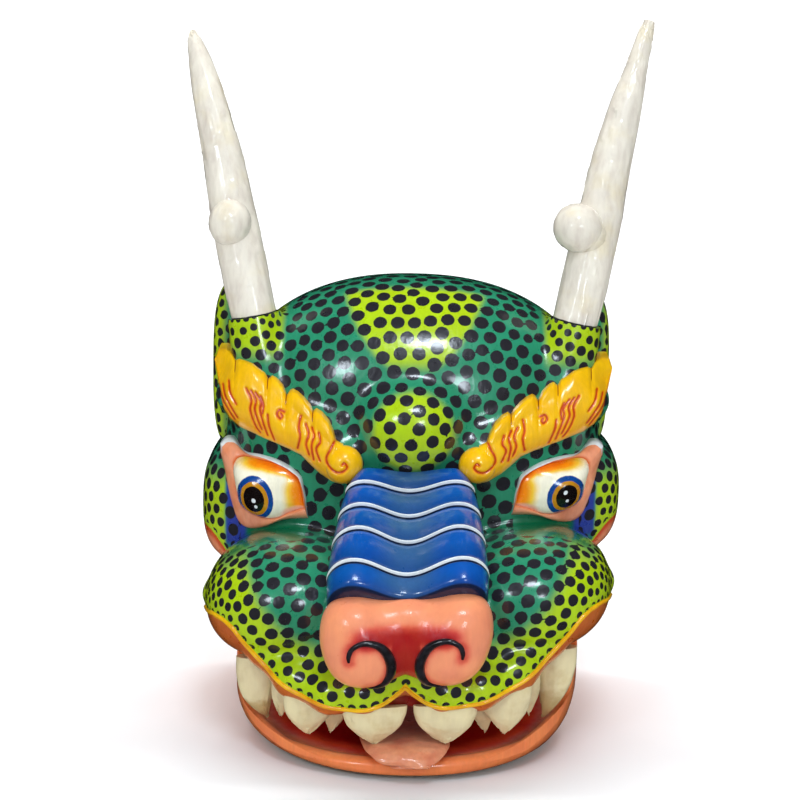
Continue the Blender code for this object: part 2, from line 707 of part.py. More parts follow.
def make_lower_jaw():
    """A U-shaped trough: rounded outside, a rim that rises toward the cheeks, a flat underside."""
    sections = 12

    def place(across, along):
        outer, inner, frontness = jaw_plan(along)
        inward = inner - outer
        depth = np.linalg.norm(inward, axis=1)
        inward /= depth[:, None]
        round_side, round_front = JAW_ROUNDING[1], JAW_ROUNDING[0]
        rounding = round_side + (round_front - round_side) * frontness**2
        rim = np.interp(outer[:, 1], JAW_RIM_Y, JAW_RIM_Z)
        point = np.rint(across * sections).astype(int) % sections
        drop = np.minimum(4, rim / 3)
        low = np.minimum(rim - drop, JAW_FLOOR + 5)
        run, height = depth.copy(), np.zeros(len(across))
        for step in range(4):
            arc = step / 3 * math.pi / 2
            here = point == step + 1
            run[here] = (rounding * (1 - np.sin(arc)))[here]
            height[here] = (rounding * (1 - np.cos(arc)))[here]
        rows = (
            (5, 0 * rim, rim - drop), (6, 0 * rim + 3, rim), (7, 0 * rim + JAW_WALL - 3, rim),
            (8, 0 * rim + JAW_WALL, rim - drop), (9, 0 * rim + JAW_WALL + 2, low),
            (10, 0 * rim + JAW_WALL + 9, 0 * rim + JAW_FLOOR), (11, depth, 0 * rim + JAW_FLOOR),
        )
        for number, runs, heights in rows:
            here = point == number
            run[here], height[here] = runs[here], heights[here]
        plan = outer + inward * run[:, None]
        return np.stack([plan[:, 0], plan[:, 1], height], axis=1)

    add_piece("lower_jaw", wrapped(sections, 32, place), JAW_ORANGE)


def make_tongue():
    add_piece("tongue", rod(TONGUE_RINGS, up=(0, 0, 1), sides=12), TONGUE_PINK)


def clear_scene():
    for old in list(bpy.data.objects):
        bpy.data.objects.remove(old, do_unlink=True)


def main():
    clear_scene()
    bench = Bench()
    make_head_shell(bench)
    make_nose_bridge(bench)
    make_nose_pad(bench)
    make_eyes(bench)
    make_brows(bench)
    make_horns(bench)
    make_ears(bench)
    make_upper_gum(bench)
    make_teeth(bench)
    make_lower_jaw()
    make_tongue()
    bench.clear()


main()
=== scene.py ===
# %% [markdown]
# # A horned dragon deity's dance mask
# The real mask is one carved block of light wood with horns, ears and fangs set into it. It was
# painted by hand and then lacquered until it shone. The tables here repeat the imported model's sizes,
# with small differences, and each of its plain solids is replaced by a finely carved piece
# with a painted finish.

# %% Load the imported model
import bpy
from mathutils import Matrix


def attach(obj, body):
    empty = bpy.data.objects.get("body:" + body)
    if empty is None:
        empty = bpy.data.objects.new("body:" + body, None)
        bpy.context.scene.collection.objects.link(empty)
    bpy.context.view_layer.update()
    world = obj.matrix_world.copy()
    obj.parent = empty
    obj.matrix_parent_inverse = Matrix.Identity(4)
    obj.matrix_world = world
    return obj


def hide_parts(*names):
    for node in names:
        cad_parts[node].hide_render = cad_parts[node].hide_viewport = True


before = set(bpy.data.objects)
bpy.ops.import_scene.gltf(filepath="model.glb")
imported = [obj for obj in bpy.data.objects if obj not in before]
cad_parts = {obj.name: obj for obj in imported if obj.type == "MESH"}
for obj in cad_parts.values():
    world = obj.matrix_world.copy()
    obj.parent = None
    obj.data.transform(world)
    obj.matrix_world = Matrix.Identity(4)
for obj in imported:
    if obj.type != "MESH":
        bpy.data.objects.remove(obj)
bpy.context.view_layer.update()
print("nodes to dress:", len(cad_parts))

# %% [markdown]
# ## Working space
# The mask is laid out in millimetres and symmetrically, as a carver marks up a block: x to the
# mask's left, y back, z up. Only at the end does each piece get the slight skew of hand carving and
# its scale in metres. That keeps every table readable. A half could be mirrored by a modifier, but
# then the painted dots could not differ left and right, as hand-painted ones do.

# %% Imports and the carver's skew
import math
from collections import namedtuple

import bmesh
import bpy
import numpy as np
from mathutils import Matrix, Vector
from mathutils.bvhtree import BVHTree
from mathutils.kdtree import KDTree

MM = 0.001
LEAN = 0.055  # how much higher each millimetre to the mask's left was carved
FULL_LEAN_FROM, FULL_LEAN_TO, NO_LEAN_FROM = 40.0, 100.0, 230.0  # heights in mm
LEFT, RIGHT = 1, -1
SIDES = {LEFT: "left", RIGHT: "right"}


def ease(value, low, high):
    """0 below low, 1 above high, and a soft change between."""
    share = np.clip((value - low) / (high - low), 0, 1)
    return share * share * (3 - 2 * share)


def hand_lean(points):
    """The lean grows from the table up, holds over the muzzle and fades out toward the dome."""
    height = points[:, 2]
    leaned = points.copy()
    fading = ease(NO_LEAN_FROM - height, 0, NO_LEAN_FROM - FULL_LEAN_TO)
    held = np.clip(height / FULL_LEAN_FROM, 0, 1) * fading
    leaned[:, 2] += LEAN * points[:, 0] * held
    return leaned


# %% [markdown]
# ## The swelling forms
# A carver thinks in masses: skull, cheeks, muzzle, jowls. Each mass here is a squared ellipsoid or a
# tapering limb, and a smooth union melts them together, so there is one distance that tells how far
# any point lies from the finished skin. Sculpting by hand would also work, but these few rows are
# the ones that the solid model was made from, with a slightly fuller lip, so the skin fits it.

# %% Tables of the masses
Form = namedtuple("Form", "name centre radii power blend back")
Limb = namedtuple("Limb", "name start end start_radius end_radius blend")
COLLAR_TOP = Vector((104.5, 32.5, 262.4))
COLLAR_AXIS = Vector((0.19, 0.06, 0.96)).normalized()
HEAD_FORMS = (
    Form("skull", (0, 60, 190), (124, 72, 96), 2.25, 0, 0.70),
    Form("cheek_walls", (0, 62, 128), (124, 80, 98), 3.2, 10, 0.25),
    Form("forehead_boss", (0, -4, 198), (35, 27, 29), 2.1, 9, 1),
    Form("muzzle_core", (0, -36, 84), (62, 70, 46), 2.4, 6, 1),
    Form("muzzle_side", (76, -24, 97), (53, 62, 39), 2.2, 5, 1),
    Form("jowl", (98, 60, 140), (41, 52, 42), 2.8, 5, 0.6),
)
HEAD_LIMBS = (
    Limb("brow_shelf", (46, -6, 182), (112, 26, 212), 16, 16, 12),
    Limb("nose_ridge", (0, 8, 128), (0, -62, 84), 44, 44, 10),
    Limb("lip_middle", (0, -92, 65), (24, -92, 50.5), 10, 12, 6),
    Limb("lip_front", (24, -92, 50.5), (46, -88, 50.5), 12, 12, 6),
    Limb("lip_turn", (46, -88, 50.5), (69, -76, 57.5), 12, 12, 6),
    Limb("lip_side", (69, -76, 57.5), (88, -62, 72), 12, 11, 6),
    Limb("lip_rise", (88, -62, 73), (102, -48, 88), 11, 10, 6),
    Limb("lip_corner", (102, -48, 88), (124, -24, 98), 10, 7, 6),
    Limb("lip_back", (38, -80, 66), (78, -56, 78), 11, 11, 8),
    Limb("horn_collar", COLLAR_TOP - 48 * COLLAR_AXIS, COLLAR_TOP + 12 * COLLAR_AXIS, 22, 15.8, 9),
)
HOLLOWS = (
    Form("skull_hollow", (0, 60, 190), (103, 58, 78), 2.4, 0, 0.60),
    Form("face_hollow", (0, 64, 125), (106, 64, 112), 3.0, 0, 0.20),
    Form("mouth_hollow", (0, -8, 54), (78, 66, 46), 2.4, 0, 1),
)
NOSE_FORMS = (
    Form("nose_lobe", (25, -103.6, 82), (24, 21, 22), 2.1, 0, 1),
    Form("nose_wing", (33, -102, 98), (19, 19, 19), 2.2, 12, 1),
    Form("nose_middle", (0, -99, 91), (34, 18, 24), 2.4, 10, 1),
)
print("masses of the head:", len(HEAD_FORMS) + len(HEAD_LIMBS))


# %% Distance to the melted masses
def form_distance(form, points):
    offset = points - np.array(form.centre, float)
    offset[:, 1] = np.where(offset[:, 1] > 0, offset[:, 1] * form.back, offset[:, 1])
    ratio = np.abs(offset) / np.array(form.radii, float)
    level = np.maximum((ratio**form.power).sum(1) ** (1 / form.power), 1e-6)
    return np.linalg.norm(offset, axis=1) * (1 - 1 / level)


def limb_distance(limb, points):
    start, end = np.array(limb.start, float), np.array(limb.end, float)
    along = end - start
    share = np.clip((points - start) @ along / (along @ along), 0, 1)
    radius = limb.start_radius + (limb.end_radius - limb.start_radius) * share
    return np.linalg.norm(points - start - share[:, None] * along, axis=1) - radius


def blended(first, second, radius):
    if radius <= 0:
        return np.minimum(first, second)
    share = np.clip(0.5 + 0.5 * (second - first) / radius, 0, 1)
    return second + (first - second) * share - radius * share * (1 - share)


def distance_to(forms, limbs, points):
    folded = np.array(points, float)
    folded[:, 0] = np.abs(folded[:, 0])
    total = form_distance(forms[0], folded)
    for form in forms[1:]:
        total = blended(total, form_distance(form, folded), form.blend)
    for limb in limbs:
        total = blended(total, limb_distance(limb, folded), limb.blend)
    return total


FLATTEST = 0.05  # a flatter slope than this, squared, is taken as this one


def drawn_in(forms, limbs, points, reach=0.5):
    """Each point moved along the slope of the distance onto the skin."""
    here = distance_to(forms, limbs, points)
    slope = np.zeros_like(points)
    for axis in range(3):
        shift = np.zeros(3)
        shift[axis] = reach
        ahead = distance_to(forms, limbs, points + shift)
        slope[:, axis] = (ahead - here) / reach
    steep = np.maximum((slope**2).sum(1), FLATTEST)
    return points - slope * (here / steep)[:, None]


# %% [markdown]
# ## Carving tools
# A bmesh starts from one of the create operators. A mass is a squared ball or a string of balls, the
# voxel remesher joins them all to one skin, and smoothing rounds with a pull toward the melted
# distance give the final surface. Swept bars and sheets are grids that are bent to a path. The
# alternative, a subdivision cage drawn by hand, would need far more points for the same face.

# %% Small mesh helpers
def coordinates(made):
    return np.array([v.co[:] for v in made.verts])


def move_to(made, points):
    for vertex, point in zip(made.verts, points):
        vertex.co = Vector(point)
    return made


def through(made, kind, **settings):
    """The bmesh after one of Blender's modifiers."""
    mesh = bpy.data.meshes.new("in_work")
    made.to_mesh(mesh)
    made.free()
    held = bpy.data.objects.new("in_work", mesh)
    bpy.context.scene.collection.objects.link(held)
    modifier = held.modifiers.new(kind.title(), kind)
    for name, value in settings.items():
        setattr(modifier, name, value)
    shaped = held.evaluated_get(bpy.context.evaluated_depsgraph_get())
    result = bmesh.new()
    result.from_mesh(shaped.to_mesh())
    shaped.to_mesh_clear()
    bpy.data.objects.remove(held, do_unlink=True)
    bpy.data.meshes.remove(mesh)
    return result


def cut(made, tool, operation="DIFFERENCE"):
    """The first bmesh cut by, or joined to, the second."""
    mesh = bpy.data.meshes.new("tool")
    tool.to_mesh(mesh)
    tool.free()
    held = bpy.data.objects.new("tool", mesh)
    bpy.context.scene.collection.objects.link(held)
    result = through(made, "BOOLEAN", operation=operation, solver="MANIFOLD", object=held)
    bpy.data.objects.remove(held, do_unlink=True)
    bpy.data.meshes.remove(mesh)
    return result


def add_ball(made, centre, radii, power=2.0, back=1.0, segments=24):
    ball = bmesh.ops.create_uvsphere(made, u_segments=segments, v_segments=segments // 2, radius=1)
    for vertex in ball["verts"]:
        unit = vertex.co
        level = (abs(unit.x) ** power + abs(unit.y) ** power + abs(unit.z) ** power) ** (1 / power)
        place = Vector(unit[i] * radii[i] / level for i in range(3))
        place.y = place.y / back if place.y > 0 else place.y
        vertex.co = place + Vector(centre)
    return made


def box(low, high):
    made = bmesh.new()
    bmesh.ops.create_cube(made, size=1)
    low, high = Vector(low), Vector(high)
    bmesh.ops.scale(made, vec=high - low, verts=made.verts)
    bmesh.ops.translate(made, vec=(low + high) / 2, verts=made.verts)
    return made


def carve(forms, limbs, voxel, rounds=4, bead_step=0.35):
    made = bmesh.new()
    for side in (LEFT, RIGHT):
        flip = Matrix.Diagonal((side, 1, 1))
        for form in forms:
            if side == LEFT or form.centre[0] > 0:
                add_ball(made, flip @ Vector(form.centre), form.radii, form.power, form.back, segments=40)
        for limb in limbs:
            start, end = Vector(limb.start), Vector(limb.end)
            beads = math.ceil((end - start).length / (bead_step * limb.start_radius))
            for bead in range(beads + 1):
                share = bead / beads
                radius = limb.start_radius + (limb.end_radius - limb.start_radius) * share
                add_ball(made, flip @ start.lerp(end, share), [radius] * 3, segments=16)
    made = through(made, "REMESH", mode="VOXEL", voxel_size=voxel)
    for _ in range(rounds):
        bmesh.ops.smooth_vert(made, verts=made.verts, factor=0.5)
        move_to(made, drawn_in(forms, limbs, coordinates(made)))
    return move_to(made, drawn_in(forms, limbs, coordinates(made)))


# %% Sheets, bars and curves
def spline(table, count):
    """Rows of a table joined by a smooth curve and read at even steps."""
    rows = np.array(table, float)
    rows = np.vstack([2 * rows[0] - rows[1], rows, 2 * rows[-1] - rows[-2]])
    at = np.linspace(0, len(table) - 1, count)
    cell = np.minimum(at.astype(int), len(table) - 2)
    t = (at - cell)[:, None]
    a, b, c, d = (rows[cell + step] for step in range(4))
    return b + 0.5 * t * (c - a + t * (2 * a - 5 * b + 4 * c - d + t * (3 * b - a - 3 * c + d)))


def sheet(columns, rows, place):
    """A grid put in place by place(across, along), both from 0 to 1."""
    made = bmesh.new()
    bmesh.ops.create_grid(made, x_segments=columns, y_segments=rows, size=0.5)
    across = np.array([v.co.x + 0.5 for v in made.verts])
    along = np.array([v.co.y + 0.5 for v in made.verts])
    return move_to(made, place(across, along))


def thicken(made, offset, shrink=1.0):
    """Closes a sheet into a slab by extruding it along one offset."""
    grown = bmesh.ops.extrude_face_region(made, geom=made.faces[:], use_keep_orig=True)
    for vertex in (item for item in grown["geom"] if isinstance(item, bmesh.types.BMVert)):
        vertex.co.x *= shrink
        vertex.co += Vector(offset)
    bmesh.ops.recalc_face_normals(made, faces=made.faces)
    return made


def wrapped(sides, count, place):
    """A tube closed round across, with filled ends."""
    made = sheet(sides, count, place)
    bmesh.ops.remove_doubles(made, verts=made.verts, dist=0.01)
    ends = [edge for edge in made.edges if edge.is_boundary]
    bmesh.ops.holes_fill(made, edges=ends, sides=0)
    bmesh.ops.recalc_face_normals(made, faces=made.faces)
    return made


def rod(table, up, sides=24):
    """A bar swept through rows of x, y, z, half width and half depth."""
    table = np.array(table, float)
    path = np.gradient(table[:, :3], axis=0)
    path /= np.linalg.norm(path, axis=1)[:, None]
    level = np.cross(path, np.array(up, float))
    level /= np.linalg.norm(level, axis=1)[:, None]
    rise = np.cross(level, path)

    def place(across, along):
        ring = np.rint(along * (len(table) - 1)).astype(int)
        turn = 2 * math.pi * np.where(across > 0.9999, 0, across)
        outward = level[ring] * (table[ring, 3] * np.cos(turn))[:, None]
        return table[ring, :3] + outward + rise[ring] * (table[ring, 4] * np.sin(turn))[:, None]

    return wrapped(sides, len(table) - 1, place)


def mirrored(made, side):
    if side == RIGHT:
        bmesh.ops.scale(made, vec=(-1, 1, 1), verts=made.verts)
        bmesh.ops.reverse_faces(made, faces=made.faces)
    return made


def whittle(made, cuts, depth, reach, seed):
    """Knife facets: near each cut, what stands a little above its plane is pressed onto it."""
    bmesh.ops.recalc_face_normals(made, faces=made.faces)
    made.normal_update()
    points = coordinates(made)
    normals = np.array([v.normal[:] for v in made.verts])
    for pick in np.random.default_rng(seed).choice(len(points), cuts):
        spot, normal = points[pick] - depth * normals[pick], normals[pick]
        above = (points - spot) @ normal
        near = (np.linalg.norm(points - spot, axis=1) < reach) & (above < 1.1 * depth)
        points -= np.where(near & (above > 0), above, 0)[:, None] * normal
    return move_to(made, points)


FAR_OFF = 99.0  # mm, farther than any paint reaches


def line_distance(x, z, line, steps=40):
    """How far each point lies from a curve drawn on the front view."""
    drawn = spline(line, steps)
    away = np.full(len(x), FAR_OFF)
    for first, second in zip(drawn[:-1], drawn[1:]):
        run = second - first
        share = np.clip(((x - first[0]) * run[0] + (z - first[1]) * run[1]) / (run @ run + 1e-9), 0, 1)
        gap = np.hypot(x - first[0] - share * run[0], z - first[1] - share * run[1])
        away = np.minimum(away, gap)
    return away


# %% [markdown]
# ## Finishing a piece
# A finished piece needs its paint guides, its skew and its scale. It is then hung on its body, the
# plain solids that it stands for are hidden, and its material goes in its slot. The guides are attributes
# on the piece itself, in millimetres or as shares, so the paint stays with the wood on every side.

# %% One function finishes every piece
def finish(name, made, nodes, material, guides=None, sharp=40):
    mesh = bpy.data.meshes.new(name)
    made.to_mesh(mesh)
    made.free()
    points = np.empty(3 * len(mesh.vertices))
    mesh.vertices.foreach_get("co", points)
    points = points.reshape(-1, 3)
    layers = {"place": points}
    layers.update(guides(points) if guides else {})
    for label, values in layers.items():
        kind = "FLOAT" if values.ndim == 1 else "FLOAT_VECTOR"
        layer = mesh.attributes.new(label, kind, "POINT")
        layer.data.foreach_set("value" if values.ndim == 1 else "vector", values.astype(float).ravel())
    mesh.vertices.foreach_set("co", (hand_lean(points) * MM).ravel())
    mesh.update()
    mesh.shade_smooth()
    mesh.set_sharp_from_angle(angle=math.radians(sharp))
    piece = bpy.data.objects.new(name, mesh)
    bpy.context.scene.collection.objects.link(piece)
    mesh.materials.append(material)
    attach(piece, "root")
    if nodes:
        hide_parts(*nodes)
    faces = sum(len(face.vertices) - 2 for face in mesh.polygons)
    print(f"{name}: {faces} triangles")


# %% [markdown]
# ## Lacquered paint
# Every finish is the same sandwich: wood, brushed paint and a thick clear coat. The paint is never
# one flat colour, so each recipe adds brush streaks, blotches, tiny bumps from the wood below, dust
# in the coat and worn specks. The Principled shader's coat gives the gloss. A separate glossy mix
# would look the same but would not export.

# %% A short way to wire shader nodes
def linear(red, green, blue):
    """A colour given as 0 to 255 screen values, in the linear values that shaders use."""
    shares = [channel / 255 for channel in (red, green, blue)]
    return tuple(s / 12.92 if s <= 0.04045 else ((s + 0.055) / 1.055) ** 2.4 for s in shares) + (1,)


STREAK_WIDE, STREAK_LONG, BLOTCH = 2.5, 14.0, 22.0  # brush marks in mm
SPECK, WORN_PATCH, WOOD_SWELL, DUST_PATCH = 1.3, 16.0, 9.0, 6.0  # usual widths in mm
COAT_ROUGHNESS, SHINE, BUMP_HEIGHT = 0.13, 0.4, 0.0006  # the last in metres
WORN_BROWN = linear(58, 48, 40)


class Recipe:
    """A material in the making; each method adds one node and returns its output."""

    def __init__(self, name):
        self.material = bpy.data.materials.new(name)
        self.material.use_nodes = True
        self.nodes = self.material.node_tree.nodes
        self.links = self.material.node_tree.links
        self.shader = self.nodes["Principled BSDF"]

    def feed(self, socket, value):
        if isinstance(value, bpy.types.NodeSocket):
            self.links.new(value, socket)
        else:
            socket.default_value = value

    def guide(self, name, vector=False):
        node = self.nodes.new("ShaderNodeAttribute")
        node.attribute_name = name
        return node.outputs["Vector" if vector else "Fac"]

    def sum(self, operation, first, second=0.0, third=None):
        node = self.nodes.new("ShaderNodeMath")
        node.operation = operation
        self.feed(node.inputs[0], first)
        self.feed(node.inputs[1], second)
        if third is not None:
            self.feed(node.inputs[2], third)
        return node.outputs[0]

    def length(self, vector):
        node = self.nodes.new("ShaderNodeVectorMath")
        node.operation = "LENGTH"
        self.links.new(vector, node.inputs[0])
        return node.outputs["Value"]

    def shifted(self, vector, offset, stretch=(1, 1, 1)):
        node = self.nodes.new("ShaderNodeMapping")
        self.links.new(vector, node.inputs["Vector"])
        node.inputs["Location"].default_value = [-o * s for o, s in zip(offset, stretch)]
        node.inputs["Scale"].default_value = stretch
        return node.outputs[0]

    def step(self, value, low, high):
        """0 up to low, 1 from high on."""
        node = self.nodes.new("ShaderNodeMapRange")
        node.interpolation_type = "SMOOTHSTEP"
        self.feed(node.inputs["Value"], value)
        node.inputs["From Min"].default_value = low
        node.inputs["From Max"].default_value = high
        return node.outputs[0]

    def mix(self, share, first, second):
        node = self.nodes.new("ShaderNodeMix")
        node.data_type = "RGBA"
        self.feed(node.inputs[0], share)
        self.feed(node.inputs[6], first)
        self.feed(node.inputs[7], second)
        return node.outputs[2]

    def noise(self, size, detail=3.0, stretch=(1, 1, 1), roughness=0.55):
        """Unevenness whose blotches are about size millimetres across."""
        vector = self.guide("place", vector=True)
        if stretch != (1, 1, 1):
            vector = self.shifted(vector, (0, 0, 0), stretch)
        node = self.nodes.new("ShaderNodeTexNoise")
        self.links.new(vector, node.inputs["Vector"])
        node.inputs["Scale"].default_value = 1 / size
        node.inputs["Detail"].default_value = detail
        node.inputs["Roughness"].default_value = roughness
        return node.outputs["Fac"]

    def uneven(self, value, size, most, detail=3.0):
        """The value, up to half of most higher or lower in blotches of the given size."""
        return self.sum("ADD", value, self.sum("MULTIPLY_ADD", self.noise(size, detail), most, -most / 2))

    def axis(self, name):
        node = self.nodes.new("ShaderNodeSeparateXYZ")
        self.links.new(self.guide("place", vector=True), node.inputs[0])
        return node.outputs["XYZ".index(name)]

    def lacquer(self, colour, roughness=0.3, coat=1.0, worn=0.5, bump=0.35, grain=0.3, bare=None):
        """Brush streaks, blotches, specks and a clear coat; bare tells where the coat is missing."""
        streak = self.noise(STREAK_WIDE, 4, (1, 1, STREAK_WIDE / STREAK_LONG))
        blotch = self.noise(BLOTCH, 2)
        shade = self.sum("MULTIPLY_ADD", streak, grain, 1 - grain / 2)
        shade = self.sum("MULTIPLY", shade, self.sum("MULTIPLY_ADD", blotch, 0.3, 0.85))
        tone = self.nodes.new("ShaderNodeHueSaturation")
        self.feed(tone.inputs["Color"], colour)
        self.feed(tone.inputs["Value"], shade)
        self.feed(tone.inputs["Hue"], self.sum("MULTIPLY_ADD", blotch, 0.02, 0.49))
        speck = self.step(self.noise(SPECK, 5, roughness=0.7), 0.70, 0.76)
        speck = self.sum("MULTIPLY", speck, self.step(self.noise(WORN_PATCH, 2), 0.46, 0.62))
        painted = self.mix(self.sum("MULTIPLY", speck, worn), tone.outputs[0], WORN_BROWN)
        self.feed(self.shader.inputs["Base Color"], painted)
        dull = self.sum("MULTIPLY_ADD", self.noise(DUST_PATCH, 4), 0.25, roughness - 0.1)
        dull = self.sum("MULTIPLY_ADD", speck, 0.3, dull)
        self.shader.inputs["Coat Weight"].default_value = coat
        self.shader.inputs["Coat Roughness"].default_value = COAT_ROUGHNESS
        self.shader.inputs["Specular IOR Level"].default_value = SHINE
        if bare is not None:
            dull = self.sum("MULTIPLY_ADD", bare, 0.5, dull)
            varnished = self.sum("SUBTRACT", 1.0, bare)
            self.feed(self.shader.inputs["Coat Weight"], self.sum("MULTIPLY", varnished, coat))
            self.feed(self.shader.inputs["Specular IOR Level"], self.sum("MULTIPLY", varnished, SHINE))
        self.feed(self.shader.inputs["Roughness"], dull)
        height = self.sum("MULTIPLY_ADD", self.noise(WOOD_SWELL, 2), 2.2, streak)
        for normal, strength in (("Normal", bump), ("Coat Normal", bump * 0.3)):
            node = self.nodes.new("ShaderNodeBump")
            node.inputs["Strength"].default_value = strength
            node.inputs["Distance"].default_value = BUMP_HEIGHT
            self.feed(node.inputs["Height"], height)
            self.links.new(node.outputs[0], self.shader.inputs[normal])
        return self.material


# %% The painter's palette
GREEN, DEEP_GREEN, LIME = linear(40, 140, 102), linear(10, 108, 70), linear(172, 204, 10)
VIOLET, RUST, CHARCOAL = linear(40, 62, 152), linear(206, 72, 26), linear(38, 36, 42)
BLUE, SLATE, WHITE = linear(4, 84, 170), linear(50, 94, 144), linear(232, 238, 240)
BAND_SHADE, BAND_SIDE, BAND_SHADOW = linear(8, 54, 124), linear(6, 40, 92), linear(14, 30, 62)
SALMON, NOSE_BLUSH, RED = linear(240, 148, 106), linear(222, 84, 62), linear(170, 20, 14)
GOLD, OLD_GOLD = linear(242, 184, 0), linear(226, 150, 10)
LOW_GOLD, AMBER = linear(240, 170, 0), linear(240, 168, 0)
PALE_EDGE, CUT_GLOW, NOTCH_BROWN = linear(246, 222, 120), linear(238, 126, 4), linear(150, 76, 10)
FLAME, UNDER, MAROON = linear(202, 66, 8), linear(196, 98, 38), linear(126, 14, 8)
IVORY, OLD_IVORY, TAN = linear(226, 211, 166), linear(212, 192, 144), linear(186, 158, 100)
HORN_WHITE, HORN_GREY, HORN_CREAM = linear(236, 228, 212), linear(220, 209, 194), linear(230, 214, 172)
CREAM, YOLK = linear(254, 248, 222), linear(255, 208, 60)
ORANGE, DEEP_ORANGE = linear(255, 146, 8), linear(244, 104, 0)
PEACH, OLD_PEACH, PINK = linear(244, 162, 122), linear(232, 138, 94), linear(252, 196, 168)
LID_SHADE, IRIS_BLUE, OCHRE = linear(216, 96, 30), linear(6, 68, 146), linear(200, 136, 12)
BLACK_BROWN, SOOT, BARE_WOOD = linear(22, 14, 14), linear(22, 20, 22), linear(172, 128, 82)
JAW, BLUSH, GUM_RED = linear(246, 136, 78), linear(206, 62, 38), linear(160, 24, 12)
TONGUE, TONGUE_SHADE, TONGUE_ROOT = linear(230, 150, 112), linear(214, 120, 86), linear(176, 60, 40)
PAPER = linear(246, 246, 246)


# %% [markdown]
# ## Dots
# Hundreds of dark dots cover the green skin: large on the dome, small along the lip, nearly all
# standing clear of one another.
# A repeating texture would shear over the lobes. So dot centres are chosen on the skin itself, each
# time the point farthest from the others measured in wished spacings. Then neighbours that stand too
# close push one another apart, round after round. Every skin point then knows how far its nearest
# centre is, and the shader turns that into a clean edge.

# %% Dot centres that keep their distance
DOT_SHARE, LARGEST_SHARE = 0.388, 0.43  # a dot's radius beside the usual and the smallest distance
FULL_ENOUGH = 0.76  # choosing ends when no skin lies further from a dot than this share
UNREACHED = 9.0  # wished distances, where no dot has been chosen yet
ROUNDS, PUSH, ELBOW_ROOM = 40, 0.16, 1.12  # how often, how hard and how far neighbours push
LONE_GAP = 1.06  # a dot with few neighbours grows as if they stood at this share
STRAYED = 2.2  # mm off the paintable skin at which a dot is brought back
HAND_LEAST, HAND_MOST, HAND_SEED = 0.95, 1.03, 3  # the painter's unevenness from dot to dot


def scattered(spots, wanted):
    """Centres chosen one by one, each where the others are farthest in wished distances."""
    reach = np.full(len(spots), UNREACHED)
    pick, centres = 0, []
    while reach[pick] > FULL_ENOUGH:
        centres.append(spots[pick])
        reach = np.minimum(reach, np.linalg.norm(spots - spots[pick], axis=1) / wanted)
        pick = int(np.argmax(reach))
    return np.array(centres)


def evened_out(centres, spots, wanted, onto_skin):
    """Crowded centres pushed apart and laid back on the skin."""
    for _ in range(ROUNDS):
        near, off_skin = nearest(spots, centres)
        strayed = off_skin > STRAYED
        centres[strayed] = spots[near[strayed]]
        others, gaps = neighbours(centres)
        crowded = np.maximum(ELBOW_ROOM * wanted[near][:, None] - gaps, 0) * PUSH / np.maximum(gaps, 0.1)
        push = (crowded[..., None] * (centres[:, None] - centres[others])).sum(1)
        centres = onto_skin(centres + push)
    return centres


def dot_guides(points, spacing, allowed, onto_skin):
    """How far each point's nearest dot centre is, and how large its dot."""
    spots, wanted = points[allowed][::2], spacing[allowed][::2]
    centres = evened_out(scattered(spots, wanted), spots, wanted, onto_skin)
    near, _ = nearest(spots, centres)
    _, gaps = neighbours(centres)
    size_there = DOT_SHARE * np.minimum(gaps.mean(1), LONE_GAP * wanted[near])
    size_there = np.minimum(size_there, LARGEST_SHARE * gaps[:, 0])
    size_there *= np.random.default_rng(HAND_SEED).uniform(HAND_LEAST, HAND_MOST, len(centres))
    near, away = nearest(centres, points)
    print("dots painted:", len(centres))
    return {"dot_away": np.where(allowed, away, FAR_OFF), "dot_size": size_there[near]}


def neighbours(centres, count=6):
    """The indices of the nearest other centres, and how far they are."""
    tree = grown_tree(centres)
    found = [tree.find_n(centre, count + 1)[1:] for centre in centres]
    others = np.array([[index for _, index, _ in row] for row in found])
    return others, np.array([[gap for _, _, gap in row] for row in found])


def grown_tree(centres):
    tree = KDTree(len(centres))
    for index, centre in enumerate(centres):
        tree.insert(centre, index)
    tree.balance()
    return tree


def nearest(centres, points):
    """The index of and the distance to the nearest centre of each point."""
    tree = grown_tree(centres)
    found = [tree.find(point)[1:] for point in points]
    return np.array([index for index, _ in found]), np.array([away for _, away in found])


def dotted(recipe, ground):
    """Dark dots with a slightly uneven hand-painted edge over the ground colour."""
    away = recipe.uneven(recipe.guide("dot_away"), 4, 0.9, detail=2)
    inside = recipe.sum("SUBTRACT", recipe.guide("dot_size"), away)
    return recipe.mix(recipe.step(inside, -0.12, 0.16), ground, CHARCOAL)


# %% [markdown]
# ## The head
# The block carries everything else: dome, boss, cheeks, jowls, muzzle and the collars for the horns.
# It is carved as one skin, then sawn flat behind and below, hollowed for the wearer, and trimmed
# level where the horns stand. Separate collars would show a seam that the real mask does not have.

# %% Carve, saw and hollow the block
HEAD_VOXEL = 2.1
BACK_Y, SPLIT_Z, UNDERCUT_Y = 125.0, 60.0, -45.0
SAW_WIDE, SAW_BACK, SAW_LOW, SAW_HIGH = 200, 500, -100, 400  # saw boxes reach well past the block
TRIM_HALF, TRIM_HIGH = 18.5, 60
LIP_LINE = (
    (0, 57), (4.5, 51.5), (12, 46), (22, 43.6), (33, 42.8), (45, 44.2), (57, 47.5), (69, 51.8),
    (80, 58.2), (88, 64.8), (95, 71.7), (101, 79.3), (107, 88), (114, 93), (122, 94), (129, 90), (136, 86),
)
COLLAR_SKIN, JOWL_SKIN = ((80, 6, 232), (200, 66, 300)), ((116, 4, 96), (200, 110, 180))  # two corners
LIP_SKIN_MIDDLE, LIP_SKIN_HALF, LIP_SKIN_BACK = 9, 12, 10


def folded(points):
    """The points with both halves of the mask laid on the left one."""
    return np.column_stack([np.abs(points[:, 0]), points[:, 1:]])


